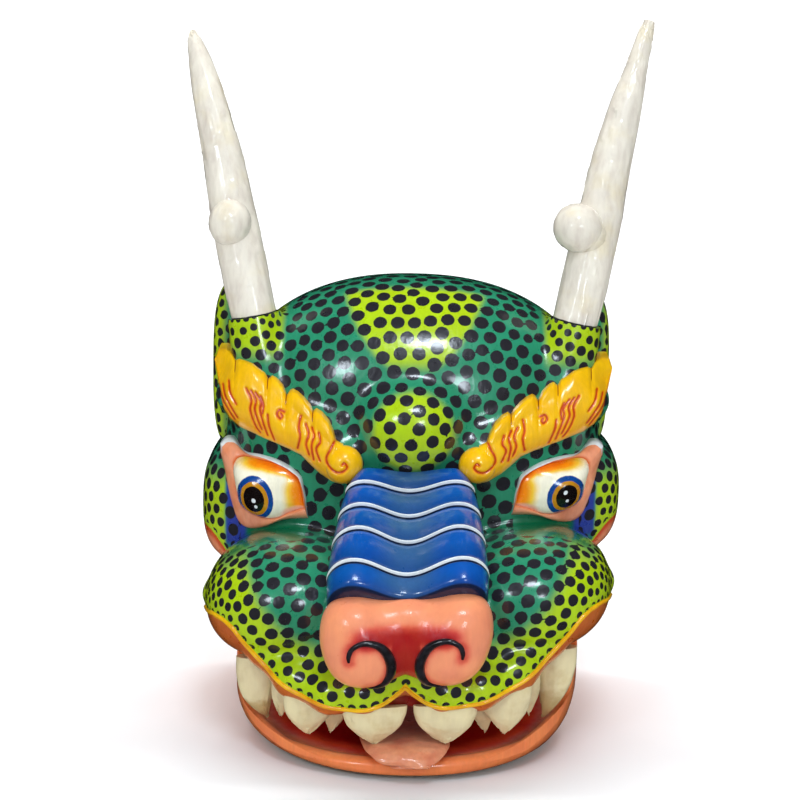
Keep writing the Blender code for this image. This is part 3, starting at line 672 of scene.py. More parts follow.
def within(points, corners):
    return ((folded(points) > corners[0]) & (folded(points) < corners[1])).all(1)


def above_lip(points):
    """Height over the lip line, roughly square to it."""
    line = np.array(LIP_LINE, float)
    x = np.abs(points[:, 0])
    tilt = np.interp(x, line[:, 0], np.gradient(line[:, 1], line[:, 0]))
    return (points[:, 2] - np.interp(x, line[:, 0], line[:, 1])) / np.sqrt(1 + tilt**2)


def small_dots_at(points):
    """Where the dots are so small that the mesh has to be finer."""
    lip = np.abs(above_lip(points) - LIP_SKIN_MIDDLE) < LIP_SKIN_HALF
    return within(points, COLLAR_SKIN) | within(points, JOWL_SKIN) | (lip & (points[:, 1] < LIP_SKIN_BACK))


def whole_head():
    block = carve(HEAD_FORMS, HEAD_LIMBS, HEAD_VOXEL)
    fine = small_dots_at(coordinates(block))
    block.verts.index_update()
    edges = [edge for edge in block.edges if fine[edge.verts[0].index] and fine[edge.verts[1].index]]
    bmesh.ops.subdivide_edges(block, edges=edges, cuts=1, use_grid_fill=True)
    return move_to(block, drawn_in(HEAD_FORMS, HEAD_LIMBS, coordinates(block)))


def ball_of(form, grown=0.0):
    radii = [radius + grown for radius in form.radii]
    return add_ball(bmesh.new(), form.centre, radii, form.power, form.back, segments=72)


def collar_saw(side):
    """A box that stands on the level top of one horn collar."""
    tool = box((-TRIM_HALF, -TRIM_HALF, 0), (TRIM_HALF, TRIM_HALF, TRIM_HIGH))
    turn = Vector((0, 0, 1)).rotation_difference(COLLAR_AXIS).to_matrix()
    bmesh.ops.rotate(tool, matrix=turn, verts=tool.verts)
    bmesh.ops.translate(tool, vec=COLLAR_TOP, verts=tool.verts)
    return mirrored(tool, side)


def head_block():
    block = whole_head()
    skin = BVHTree.FromBMesh(block)
    block = cut(block, box((-SAW_WIDE, BACK_Y, SAW_LOW), (SAW_WIDE, SAW_BACK, SAW_HIGH)))
    block = cut(block, box((-SAW_WIDE, UNDERCUT_Y, SAW_LOW), (SAW_WIDE, SAW_BACK, SPLIT_Z)))
    for form in HOLLOWS:
        block = cut(block, ball_of(form))
    for side in SIDES:
        block = cut(block, collar_saw(side))
    return block, skin


block, SKIN = head_block()
print("head points:", len(block.verts))

# %% [markdown]
# ## Where the head's colours go
# The painter shaded green into lime toward the lip, on the boss and on the dome, left the underside
# of the lip orange-brown, and set a violet-blue hollow beside each eye. Each is a soft field worked
# out from where the point lies; the gilt line follows the lip line of the front view.

# %% Paint guides of the head
DOME_PATCH = ((234, 14), (245, 26), (260, 37), (278, 46))  # height and half width of the lime fan
JOWL_RIM = ((118, 110), (122, 117), (127, 124), (131, 127.5), (136, 129), (142, 129.5))
PAINTED = {  # each fade runs from 0 at its first place to 1 at its second
    "dome_patch": (("z", 232, 243),),
    "collar": (("z", 232, 248), ("x", 82, 88), ("y", 72, 60), ("y", 6, 12)),
    "muzzle": (("y", 20, 0),),
    "cheek_end": (("x", 88, 110), ("y", 4, -10), ("z", 126, 118)),
    "jowl": (("x", 119, 122), ("y", 8, 14), ("z", 190, 182)),
    "low_jowl": (("z", 172, 150),),
    "temple": (
        ("x", 104, 108), ("x", 121.5, 119), ("y", 26, 20), ("y", -22, -12), ("z", 116, 122), ("z", 174, 166),
    ),
    "under_eye": (("x", 64, 72), ("y", 8, 2), ("y", -46, -34), ("z", 124, 128), ("z", 143, 139)),
    "mouth": (("y", 20, -10), ("z", 104, 96)),
}
BOSS_MIDDLE, BOSS_HALF = (1, 199), (27, 26)
NOT_HERE = 60.0  # mm, a distance that stands for another part of the head


def field(points, fades):
    """How much each point belongs to a painted field, 0 to 1."""
    share = np.ones(len(points))
    for axis, none, full in fades:
        share *= ease(points[:, "xyz".index(axis)], none, full)
    return share


# %% Wished distances between the dots
PITCH = 11.6  # the usual distance
BOSS_PITCH = ((0, 10.2), (1, 10.8), (1.4, PITCH))  # from the boss's middle to outside its edge
LIP_PITCH = ((0, 6.0), (4, 6.8), (12, 9.2), (30, PITCH))  # by the height over the lip
JOWL_PITCH = ((125, 6.6), (150, 8.6), (180, 10.8))  # by the height over the table
COLLAR_PITCH = ((0, 5.0), (4, 6.0), (14, 8.4), (34, 11.6))  # by the depth under the collar's top
COLLAR_DOTS, COLLAR_HIGH = ((84, 4, 226), (200, 64, 300)), 262
MUZZLE_SIDE, MUZZLE_TIGHTER, PATCH_TIGHTER = (96, 122), 0.28, 0.8


def read_off(value, table):
    return np.interp(value, *np.array(table, float).T)


def dot_spacing(points, boss, patch, lip, jowl):
    x, y, z = folded(points).T
    spacing = read_off(boss, BOSS_PITCH) - PATCH_TIGHTER * patch
    spacing = np.minimum(spacing, read_off(lip, LIP_PITCH))
    spacing = spacing * (1 - MUZZLE_TIGHTER * ease(x, *MUZZLE_SIDE) * ease(y, 10, 4))
    spacing = np.where(jowl > 0.5, read_off(z, JOWL_PITCH), spacing)
    return np.where(within(points, COLLAR_DOTS), read_off(COLLAR_HIGH - z, COLLAR_PITCH), spacing)


# %% All guides of the head
def onto_head(centres):
    return drawn_in(HEAD_FORMS, HEAD_LIMBS, centres)


def head_guides(points):
    left = folded(points)
    x, y, z = left.T
    parts = {name: field(left, fades) for name, fades in PAINTED.items()}
    outer = (np.abs(distance_to(HEAD_FORMS, HEAD_LIMBS, points)) < 0.7) & (y < BACK_Y - 0.5)
    lip = np.where(y < -4, above_lip(points), NOT_HERE)
    jowl_rim = np.where((x > 96) & (y > 4), z - read_off(x, JOWL_RIM), NOT_HERE)
    boss = np.hypot((points[:, 0] - BOSS_MIDDLE[0]) / BOSS_HALF[0], (z - BOSS_MIDDLE[1]) / BOSS_HALF[1])
    boss = boss + ease(y, -8, 0)
    patch = 1 - ease(x - read_off(z, DOME_PATCH), -5, 3)
    patch *= parts["dome_patch"] * (1 - ease(y, 31, 40))
    lime = [
        1 - ease(boss, 0.82, 1.08), patch, parts["collar"], (1 - ease(lip, 20, 36)) * parts["muzzle"],
        parts["cheek_end"], parts["jowl"] * parts["low_jowl"],
    ]
    allowed = outer & (lip > 2.4) & (jowl_rim > 1.6) & (parts["under_eye"] < 0.5)
    guides = dot_guides(points, dot_spacing(points, boss, patch, lip, parts["jowl"]), allowed, onto_head)
    guides.update({
        "lime": np.maximum.reduce(lime), "lip": lip, "jowl_rim": jowl_rim, "blue": parts["temple"],
        "strip": parts["under_eye"], "skin": outer.astype(float), "mouth": parts["mouth"],
    })
    return guides


# %% Paint the head
def head_paint():
    mix = Recipe("green_lacquer_with_dots")
    ground = mix.mix(mix.guide("lime"), GREEN, LIME)
    ground = mix.mix(mix.guide("strip"), ground, DEEP_GREEN)
    ground = mix.mix(mix.guide("blue"), ground, VIOLET)
    colour = dotted(mix, ground)
    edge = mix.uneven(mix.guide("lip"), 5, 0.8)
    colour = mix.mix(mix.step(edge, 2.6, 2.2), colour, GOLD)
    under = mix.mix(mix.step(mix.guide("lip"), -12, -26), UNDER, MAROON)
    colour = mix.mix(mix.step(edge, -0.2, -1.0), colour, under)
    rim = mix.guide("jowl_rim")
    colour = mix.mix(mix.step(rim, 1.5, 1.1), colour, LIME)
    colour = mix.mix(mix.step(rim, 0.2, -1.2), colour, RUST)
    colour = mix.mix(mix.step(rim, -2, -9), colour, SALMON)
    inside = mix.mix(mix.step(mix.guide("mouth"), 0.3, 0.7), BARE_WOOD, MAROON)
    hidden = mix.step(mix.guide("skin"), 0.6, 0.4)
    colour = mix.mix(hidden, colour, inside)
    return mix.lacquer(colour, roughness=0.28, bump=0.3, bare=hidden)


finish(
    "carved_head", block, ("head_shell", "horn_collar_left", "horn_collar_right"),
    head_paint(), head_guides, sharp=50,
)


# %% [markdown]
# ## Gilt lip
# A rounded gilt bead edges the upper lip. It is a bar swept along the lip line and laid on the
# carved skin by casting rays from the front. A painted line alone would lose the small shadow that
# the bead throws on the teeth.

# %% Sweep the lip bead
RAY_FROM = -300  # mm in front of the mask


def on_skin(x, z, miss=40.0, tree=SKIN):
    """Depth at which a ray from the front meets the skin."""
    hit = tree.ray_cast(Vector((x, RAY_FROM, z)), Vector((0, 1, 0)))[0]
    return hit.y if hit else miss


BEAD_RADIUS, BEAD_RAISED, BEAD_BACK = 1.35, 1.0, 8


def lip_bead():
    half = spline(LIP_LINE[:-1], 90)
    line = np.vstack([half[:0:-1] * (-1, 1), half])
    rows = []
    for x, z in line:
        depth = min(on_skin(x, z + 1.2), BEAD_BACK)
        hit = SKIN.find_nearest(Vector((x, depth, z + BEAD_RAISED)))[0]
        rows.append((*hit, BEAD_RADIUS, BEAD_RADIUS))
    rows = np.array(rows)
    for _ in range(3):
        rows[1:-1, :3] = (rows[:-2, :3] + 2 * rows[1:-1, :3] + rows[2:, :3]) / 4
    return rod(rows, up=(0, 1, 0), sides=12)


def gold_paint():
    mix = Recipe("golden_paint")
    colour = mix.mix(mix.step(mix.noise(18), 0.4, 0.7), GOLD, OLD_GOLD)
    return mix.lacquer(colour, worn=0.35)


GILT = gold_paint()
finish("lip_bead", lip_bead(), (), GILT)

# %% [markdown]
# ## The nose bridge
# Blue bands step down the nose, each one overlapping the next with a white-edged wavy lip. One grid
# is swept across two humps and a valley, with close rows at every lip so that the step stays crisp.
# Five separate bands would do too, but would leave gaps at the sides.

# %% Sweep the stepped bands
Ridge = namedtuple("Ridge", "name edge peak valley")
BRIDGE_RIDGES = (
    Ridge("root", (33, -22, 172), (27, -27, 177), (0, -22, 173)),
    Ridge("first", (41, -29, 160), (29, -37, 170), (0, -33, 163)),
    Ridge("second", (45, -43, 146), (30, -54, 160), (0, -50, 151)),
    Ridge("third", (48, -60, 132), (31, -75, 151), (0, -71, 140)),
    Ridge("fourth", (50, -80, 118), (33, -97, 137), (0, -93, 126)),
    Ridge("foot", (49, -92, 106), (34, -108, 123), (0, -104, 113)),
)
OUTWARD, DOWNHILL = np.array((0, -0.52, 0.85)), np.array((0, -0.85, -0.52))
HUMP = 0.62  # where the hump stands, as a share of the half width


def ridge_profile(ridge, across):
    edge, peak, valley = (np.array(part, float) for part in (ridge.edge, ridge.peak, ridge.valley))
    reach = np.abs(across)
    inner = (1 - np.cos(math.pi * np.clip(reach / HUMP, 0, 1))) / 2
    outer = np.clip((reach - HUMP) / (1 - HUMP), 0, 1) * math.pi / 2
    points = valley + (peak - valley) * inner[:, None]
    past_hump = peak[0] + (edge[0] - peak[0]) * np.sin(outer)
    points[:, 0] = np.where(reach < HUMP, peak[0] * reach / HUMP, past_hump)
    points[:, 1:] += ((edge - peak)[1:] * (1 - np.cos(outer))[:, None]) * (reach >= HUMP)[:, None]
    points[:, 0] *= np.sign(across)
    return points


# %% Rows of the bands
BandRow = namedtuple("BandRow", "band share lift run white dark")
LIP_HEIGHT, BAND_SWELL, START_PAST = 2.2, 1.2, 1.3  # a band starts so far past the ridge above it
# Rows flagged dark are painted shadow under each white-edged lip and along the bridge's foot.
GAP_ROWS = ((0.9, 0.15, 1), (1.1, 0.2, 0))  # run past that start, lift and dark paint
WHITE_ROWS = ((-0.5, 2.2, 0), (-0.2, 2.5, 1), (0.5, 2.4, 1), (0.9, 1.6, 1))  # run, lift, white paint
BRIDGE_BACK, BRIDGE_BACK_WIDTH = (0, 16, -27), 0.9  # offset of the slab's back, and its share of width


def band_rows():
    """The grid's rows from the brows down, each between the ridge of its band and the next one."""
    rows = []
    last = len(BRIDGE_RIDGES) - 2
    for band in range(last + 1):
        start = START_PAST if band else 0.0
        for share in np.linspace(0, 1, 9)[:-1]:
            lift = LIP_HEIGHT * share + BAND_SWELL * math.sin(math.pi * share)
            starts_under = share == 0 and band > 0
            rows.append(BandRow(band, share, lift, start * (1 - share), 0, float(starts_under)))
            if starts_under:
                rows += [BandRow(band, 0.0, lift, start + run, 0, dark) for run, lift, dark in GAP_ROWS]
        if band < last:
            rows += [BandRow(band, 1.0, lift, run, white, 0) for run, lift, white in WHITE_ROWS]
    rows.append(BandRow(last, 1.0, 0.0, 0.0, 0, 1))
    return rows


def nose_bridge():
    rows = band_rows()
    paint = {}

    def place(across, along):
        number = np.rint(along * (len(rows) - 1)).astype(int)
        points = np.zeros((len(across), 3))
        for index, row in enumerate(rows):
            here = number == index
            wide = across[here] * 2 - 1
            upper = ridge_profile(BRIDGE_RIDGES[row.band], wide)
            lower = ridge_profile(BRIDGE_RIDGES[row.band + 1], wide)
            points[here] = upper + (lower - upper) * row.share + OUTWARD * row.lift + DOWNHILL * row.run
        paint["white"] = np.array([rows[n].white for n in number], float)
        paint["dark"] = np.array([rows[n].dark for n in number], float)
        paint["wide"] = np.abs(across * 2 - 1)
        paint["down"] = np.array([rows[n].share for n in number], float)
        return points

    made = thicken(sheet(72, len(rows) - 1, place), BRIDGE_BACK, shrink=BRIDGE_BACK_WIDTH)
    paint = {label: np.concatenate([values, values]) for label, values in paint.items()}
    return made, lambda points: paint


def bridge_paint():
    mix = Recipe("blue_lacquer_bands")
    wide = mix.guide("wide")
    # Slate toward the middle of each band is painted shade in the valley between the two humps.
    colour = mix.mix(mix.step(wide, 0.1, 0.5), SLATE, BLUE)
    shade = mix.sum("MULTIPLY", mix.step(mix.guide("down"), 0.35, 1.0), 0.55)
    colour = mix.mix(shade, colour, BAND_SHADE)
    colour = mix.mix(mix.step(wide, 0.84, 0.99), colour, BAND_SIDE)
    # Painted shadow line in dark blue under each lip.
    colour = mix.mix(mix.step(mix.guide("dark"), 0.3, 0.7), colour, BAND_SHADOW)
    colour = mix.mix(mix.step(mix.guide("white"), 0.35, 0.65), colour, WHITE)
    return mix.lacquer(colour, worn=0.3, bump=0.25)


bridge, bridge_guides = nose_bridge()
finish("blue_bridge", bridge, ("nose_bridge",), bridge_paint(), bridge_guides, sharp=50)

# %% [markdown]
# ## The nose
# The salmon nose is melted from three masses as the head is. Its black nostril curls are tapered
# bars laid on the surface, because on the mask they are raised cords of lacquer. The red blush
# between them is a soft field.

# %% Carve the nose and lay its curls
NOSTRIL = (
    (34, 82), (34, 86), (32, 90.5), (26, 93.5), (19, 92.5), (13.5, 89), (10, 83.5),
    (8.5, 77.5), (9.5, 71), (12.5, 65.5), (16.5, 63), (22, 61.5),
)
NOSTRIL_WIDTHS = (0.8, 1.5, 1.6, 1.8, 2.2, 2.8, 3.2, 3.3, 3.0, 2.4, 1.6, 0.8)
NOSE_VOXEL, CURL_RAISED, CURL_MISS = 1.5, 0.2, -92  # mm; the last is a depth where no skin is met
BLUSH_BAND, BLUSH_GROOVE = (("x", 43, 22), ("z", 83, 94), ("z", 108, 94)), (("x", 10.5, 7.5), ("z", 104, 92))
nose = carve(NOSE_FORMS, (), NOSE_VOXEL)
NOSE_SKIN = BVHTree.FromBMesh(nose)


def nose_guides(points):
    left = folded(points)
    curl = 1 - ease(line_distance(left[:, 0], left[:, 2], NOSTRIL), 1.5, 8.5)
    blush = np.maximum.reduce([field(left, BLUSH_BAND), field(left, BLUSH_GROOVE), 0.55 * curl])
    return {"blush": blush, "edge": distance_to(HEAD_FORMS, HEAD_LIMBS, points)}


def nose_paint():
    mix = Recipe("salmon_lacquer")
    blush = mix.uneven(mix.guide("blush"), 7, 0.3)
    colour = mix.mix(mix.step(blush, 0.05, 0.7), SALMON, NOSE_BLUSH)
    colour = mix.mix(mix.step(blush, 0.35, 1.0), colour, RED)
    edge = mix.uneven(mix.guide("edge"), 6, 1.2)
    colour = mix.mix(mix.step(edge, 1.9, 1.4), colour, CHARCOAL)
    return mix.lacquer(colour, coat=0.45, worn=0.35, grain=0.14)


def nostril_curl():
    path = spline([(*point, wide) for point, wide in zip(NOSTRIL, NOSTRIL_WIDTHS)], 70)
    rows = [(x, on_skin(x, z, CURL_MISS, NOSE_SKIN) - CURL_RAISED, z, wide, wide) for x, z, wide in path]
    rows = np.array(rows)
    for _ in range(4):
        rows[1:-1, 1] = (rows[:-2, 1] + 2 * rows[1:-1, 1] + rows[2:, 1]) / 4
    return rod(rows, up=(0, 1, 0), sides=14)


def black_paint():
    mix = Recipe("black_lacquer")
    colour = mix.mix(mix.step(mix.noise(5), 0.35, 0.65), CHARCOAL, SOOT)
    return mix.lacquer(colour, worn=0.3)


BLACK = black_paint()
finish("salmon_nose", nose, ("nose_pad",), nose_paint(), nose_guides)
for side, hand in SIDES.items():
    finish("nostril_curl_" + hand, mirrored(nostril_curl(), side), (), BLACK)

# %% [markdown]
# ## The eyes
# Each eye is an almond dome under two carved lids that meet in a flap at the temple. The dome is a
# grid that shrinks from the almond outline to its middle, and the lids are a ring between the two
# outlines, raised in the middle. A plain ball behind a hole would not follow the slanted corner.

# %% Outlines of the lids and the opening
UPPER_OUTER = (
    (124.5, 182), (121, 185), (116.5, 185), (113.5, 183), (110.5, 180), (106, 178.5),
    (99.5, 179), (92, 178.5), (84.5, 177), (78.5, 174.5), (73.5, 171.5), (69.5, 167.5),
    (68, 161.5), (66.5, 155), (66, 149), (65, 142.5),
)
LOWER_OUTER = (
    (65, 142), (74, 141.5), (80, 140.5), (86, 138.5), (92.5, 135.5), (98.5, 133.5),
    (104, 132.5), (109, 133.5), (112.5, 137), (115, 143), (117.5, 150.5), (120, 159.5),
    (122, 168), (124.5, 177),
)
UPPER_OPENING = (
    (114, 171.5), (111, 175.2), (102.5, 176.6), (95, 176.2), (88, 175.6), (81.5, 173.8),
    (76.5, 171.2), (72, 167.2), (70, 162), (68.5, 155.5), (67.5, 150.5),
)
LOWER_OPENING = (
    (67, 149.5), (73, 147.5), (79, 145), (84, 142.5), (88.5, 141.5), (94.5, 141.5),
    (101, 143), (106.5, 145.5), (110.5, 149.5), (112, 155), (113.5, 162), (114.5, 167.5),
)
EYE_MIDDLE, EYE_FRONT = (94.5, 157.5), -18.2
LID_BACK, OPENING_BACK, OPENING_RAISED = 16.0, 9.0, 2.0  # no edge lies further back than the first two


def even(line, count):
    """The line read at even lengths."""
    fine = spline(line, 400)
    run = np.concatenate([[0], np.cumsum(np.linalg.norm(np.diff(fine, axis=0), axis=1))])
    at = np.linspace(0, run[-1], count)
    return np.stack([np.interp(at, run, fine[:, 0]), np.interp(at, run, fine[:, 1])], axis=1)


HALF = 48
OUTER = np.vstack([even(UPPER_OUTER, HALF), even(LOWER_OUTER, HALF)])
OPENING = np.vstack([even(UPPER_OPENING, HALF), even(LOWER_OPENING, HALF)])


def softened(values, rounds=6):
    """A closed run of values, evened out."""
    for _ in range(rounds):
        values = (np.roll(values, 1) + 2 * values + np.roll(values, -1)) / 4
    return values


outer_y = softened(np.array([min(on_skin(x, z), LID_BACK) for x, z in OUTER]))
opening_y = softened(np.array([min(on_skin(x, z), OPENING_BACK) for x, z in OPENING])) - OPENING_RAISED
print("eye opening in mm:", np.ptp(OPENING, axis=0))


# %% The dome of the eye
UNDER_LID, DOME_SUNK, DOME_THICK = 0.05, 1.2, 12  # the dome's edge goes under the lids by this share


def eye_dome():
    count = 2 * HALF

    def place(across, along):
        spot = np.rint(across * count).astype(int) % count
        ring = OPENING[spot] + (OPENING[spot] - EYE_MIDDLE) * UNDER_LID
        flat = ring + (np.array(EYE_MIDDLE) - ring) * along[:, None]
        swell = np.sqrt(1 - (1 - along) ** 2)
        y = opening_y[spot] + DOME_SUNK + (EYE_FRONT - opening_y[spot] - DOME_SUNK) * swell
        return np.stack([flat[:, 0], y, flat[:, 1]], axis=1)

    made = sheet(count, 18, place)
    bmesh.ops.remove_doubles(made, verts=made.verts, dist=0.01)
    return thicken(made, (0, DOME_THICK, 0))


# %% Paint the eyes
IRIS, IRIS_TILT = (99.4, 154.6), math.radians(14)  # each iris leans outward at its top
INNER_CORNER, TEAR = (64, 158), (72, 145.5)
LID_SHADOW = ((68, 163), (80, 174), (96, 177), (112, 176))  # the upper lid's shadow starts here
IRIS_DISCS = (  # shift outward, half width, half height, softness, colour
    (0, 12.0, 14.4, 0.25, IRIS_BLUE), (0.3, 9.1, 11.0, 0.2, OCHRE), (0.6, 6.8, 8.5, 0.2, BLACK_BROWN),
)
GLINTS = {RIGHT: ((0.8, -0.6, 1.3), (0.3, -4.8, 1.0)), LEFT: ((-1.1, 2.8, 1.3), (1.7, -2.8, 1.0))}


def eye_guides(points):
    x, z = np.abs(points[:, 0]), points[:, 2]
    out, up = x - IRIS[0], z - IRIS[1]
    wide = out * math.cos(IRIS_TILT) - up * math.sin(IRIS_TILT)
    tall = out * math.sin(IRIS_TILT) + up * math.cos(IRIS_TILT)
    corner = 1 - ease(np.hypot((x - INNER_CORNER[0]) / 1.2, (z - INNER_CORNER[1]) / 1.4), 3, 19)
    # Orange along the top of the eye, under the upper lid, is a painted shadow of the lid.
    top = (1 - ease(read_off(x, LID_SHADOW) - z, 0.5, 8)) * (1 - 0.75 * ease(x, 96, 112))
    pink = 1 - ease(np.hypot((x - TEAR[0]) / 2.0, z - TEAR[1]), 2, 7)
    return {
        "look": np.stack([wide, tall, np.zeros(len(x))], axis=1),
        "warm": np.clip(np.maximum(corner, top), 0, 1), "pink": pink,
    }


def eye_paint(side):
    mix = Recipe("painted_eye_" + SIDES[side])
    look = mix.guide("look", vector=True)
    around = mix.sum("MULTIPLY_ADD", mix.noise(3, 2), 0.7, -0.35)

    def disc(middle, wide, tall):
        away = mix.length(mix.shifted(look, (*middle, 0), (1 / wide, 1 / tall, 1)))
        return mix.sum("SUBTRACT", wide, mix.sum("MULTIPLY_ADD", away, wide, around))

    # The orange ramp covers the inner corner and, under the upper lid, a painted shadow of the lid.
    warm = mix.uneven(mix.guide("warm"), 8, 0.2)
    colour = mix.mix(mix.step(warm, 0.05, 0.45), CREAM, YOLK)
    colour = mix.mix(mix.step(warm, 0.35, 0.75), colour, ORANGE)
    colour = mix.mix(mix.step(warm, 0.75, 1.05), colour, DEEP_ORANGE)
    colour = mix.mix(mix.step(mix.guide("pink"), 0.1, 0.8), colour, PINK)
    for out, wide, tall, soft, paint in IRIS_DISCS:
        colour = mix.mix(mix.step(disc((out, 0), wide, tall), -soft, soft), colour, paint)
    for out, up, wide in GLINTS[side]:
        colour = mix.mix(mix.step(disc((out, up), wide, 1.15 * wide), -0.15, 0.15), colour, WHITE)
    return mix.lacquer(colour, roughness=0.22, worn=0.12, bump=0.12)


for side, hand in SIDES.items():
    finish(
        "painted_eye_" + hand, mirrored(eye_dome(), side), ("eyeball_" + hand,),
        eye_paint(side), eye_guides,
    )


# %% The lids
LID_SWELL, LID_OVER_EYE, OUTER_ROLL, INNER_ROLL, LID_THICK = 2.6, 1.6, 3.0, 4.5, 7


def lid_ring():
    """A ring from the outer line to the opening, rolled back at both edges."""
    count, rows = 2 * HALF, 12
    paint = {}

    def place(across, along):
        spot = np.rint(across * count).astype(int) % count
        share = np.clip(along * 1.15 - 0.08, 0, 1)
        flat = OUTER[spot] + (OPENING[spot] - OUTER[spot]) * share[:, None]
        y = outer_y[spot] * (1 - share) + (opening_y[spot] - LID_OVER_EYE) * share
        y -= LID_SWELL * np.sin(math.pi * share) ** 0.6
        y += np.where(along < 0.04, OUTER_ROLL, 0) + np.where(along > 0.97, INNER_ROLL, 0)
        width = np.linalg.norm(OPENING[spot] - OUTER[spot], axis=1)
        paint["across_lid"] = share * width
        paint["to_opening"] = (1 - share) * width
        paint["upper"] = (spot < HALF).astype(float)
        return np.stack([flat[:, 0], y, flat[:, 1]], axis=1)

    made = thicken(sheet(count, rows, place), (0, LID_THICK, 0))
    paint = {label: np.concatenate([values, values]) for label, values in paint.items()}
    return made, lambda points: paint


def lid_paint():
    mix = Recipe("peach_lid_paint")
    upper = mix.guide("upper")
    colour = mix.mix(mix.step(mix.noise(12), 0.35, 0.7), PEACH, OLD_PEACH)
    shadow = mix.sum("MULTIPLY", upper, mix.step(mix.guide("to_opening"), 3.4, 0.6))
    colour = mix.mix(shadow, colour, LID_SHADE)
    inner = mix.sum("MULTIPLY", mix.step(mix.guide("to_opening"), 1.6, 0.2), 0.5)
    colour = mix.mix(inner, colour, LID_SHADE)
    edge = mix.uneven(mix.guide("across_lid"), 3, 0.6)
    white = mix.sum("MULTIPLY", upper, mix.step(edge, 2.2, 1.8))
    colour = mix.mix(white, colour, WHITE)
    return mix.lacquer(colour, worn=0.3)


LID = lid_paint()
for side, hand in SIDES.items():
    lids, lid_guides = lid_ring()
    finish(
        "carved_lids_" + hand, mirrored(lids, side), ("upper_eyelid_" + hand, "lower_eyelid_" + hand),
        LID, lid_guides, sharp=55,
    )

# %% [markdown]
# ## Flame brows
# The brows are carved flames: five overlapping tongues with cut lines, ending in a curl beside the
# nose. A grid is stretched between the lower edge and the scalloped upper edge, each tongue swells,
# and the cut lines are pressed in and kept as a paint guide. Cutting every line with a tool solid
# would give the same face for far more work.

# %% Edges and cut lines of the brow
BROW_LOW = (
    (129.5, 232), (127.5, 222), (125, 212), (122, 203), (118, 196.5), (111.5, 192.5),
    (102.5, 191), (95, 189), (86.5, 187), (78, 184.5), (70, 181.5), (64, 176),
    (57.5, 170.5), (50, 166.5), (43, 165.5),
)
BROW_TOP = (
    (129.5, 234), (127.5, 239.5), (122, 240.5), (117.5, 238), (115, 235), (112.5, 236.5),
    (108, 236), (103, 234.5), (99, 231.5), (95, 229), (93, 225.5), (90.5, 227.5), (88, 226.5),
    (86, 225), (83, 222), (80.5, 216.5), (78.5, 219.5), (76.5, 220.5), (73, 219), (69, 216),
    (65, 212), (63, 208.5), (61, 210), (57, 208), (52.5, 203.5), (49.5, 198), (47.5, 192.5),
    (43, 190.5),
)
NOTCHES = (131, 114.8, 93, 80.6, 63, 47)
BROW_DEPTHS = (
    (39, -25), (47, -21), (55, -16), (64, -10), (74, -4), (84, 2), (93, 8), (103, 14), (113, 22),
    (121, 30), (126, 35), (130, 38),
)
FLAME_LINES = (
    ((126, 219), (124, 213.5), (119.5, 207), (114.5, 199)),
    ((122.5, 220), (120.5, 214), (117, 208.5), (112.5, 201)),
    ((118.5, 223), (117, 216), (113, 210)),
    ((106.5, 220), (103, 213.5), (103.5, 207), (100, 197.5), (97, 193.5)),
    ((103.5, 219), (100, 213.5), (100.5, 207), (96, 196)),
    ((100.5, 218), (96.5, 212.5), (97, 207), (92, 192.5)),
    ((97, 216), (95, 211), (95.5, 206)),
    ((92, 205.5), (91, 199), (87.5, 190)),
    ((70.5, 206.5), (71.5, 200), (70.5, 194.5), (72, 187)),
    ((67, 202), (65, 196.5), (66.5, 190.5), (64.5, 184)),
    ((63, 200), (61.5, 195.5), (63, 189.5), (61.5, 181)),
    ((58.5, 197.5), (57.5, 192.5), (60, 188), (57.5, 181)),
    ((81.5, 208), (84.5, 209), (86, 206.5), (84, 204), (82.5, 205.5), (83.5, 207)),
    (
        (48.5, 193), (50.5, 189), (53, 184.5), (53, 180.5), (50, 177), (46, 175), (42, 176), (40, 178.5),
        (41.5, 181), (43, 180),
    ),
)
CURL_MIDDLE, CURL_RADII = (42.2, 178.2), (12.0, 10.5, 12.0)
BROW_FROM, BROW_LONG, BROW_THICK = 43, 86.5, 18
BROW_RISE, TONGUE_SWELL, CUT_DEEP, CURL_CUT_DEEP, BROW_SUNK = 8.2, 0.9, 1.3, 1.9, 0.4
CUT_WIDE, CURL_CUT_WIDE, BEHIND_BROW = 1.0, 1.1, 60


# %% Carve the brow
def to_cut(x, z):
    """How near the closest cut line is, up to 9 mm."""
    away = np.full(len(x), 9.0)
    for line in FLAME_LINES:
        away = np.minimum(away, line_distance(x, z, line, 24))
    return away


def brow_base(x, z):
    """The depth of the skin under the brow, or of the brow's own back where the skin lies deeper."""
    skin = np.array([on_skin(a, b, BEHIND_BROW) for a, b in zip(x, z)])
    return np.minimum(skin, read_off(x, BROW_DEPTHS))


def brow_flame():
    low, top = np.array(BROW_LOW)[::-1], np.array(BROW_TOP)[::-1]

    def place(across, along):
        x = BROW_FROM + BROW_LONG * across
        low_z, top_z = np.interp(x, *low.T), np.interp(x, *top.T)
        z = low_z + (top_z - low_z) * along
        base = brow_base(x, z)
        for _ in range(2):
            base = smoothed_grid(base, along, across)
        rise = BROW_RISE * np.sqrt(np.clip(1 - np.abs(2 * along - 1) ** 3, 0, 1))
        edges = np.array(NOTCHES[::-1], float)
        cell = np.clip(np.searchsorted(edges, x) - 1, 0, len(edges) - 2)
        share = np.clip((x - edges[cell]) / (edges[cell + 1] - edges[cell]), 0, 1)
        swell = np.sin(math.pi * share) ** 0.3 * ease(along, 0.5, 1.0)
        cuts = np.exp(-((to_cut(x, z) / CUT_WIDE) ** 2))
        y = base - rise - TONGUE_SWELL * swell + CUT_DEEP * cuts + BROW_SUNK
        return np.stack([x, y, z], axis=1)

    return thicken(sheet(200, 60, place), (0, BROW_THICK, 0))


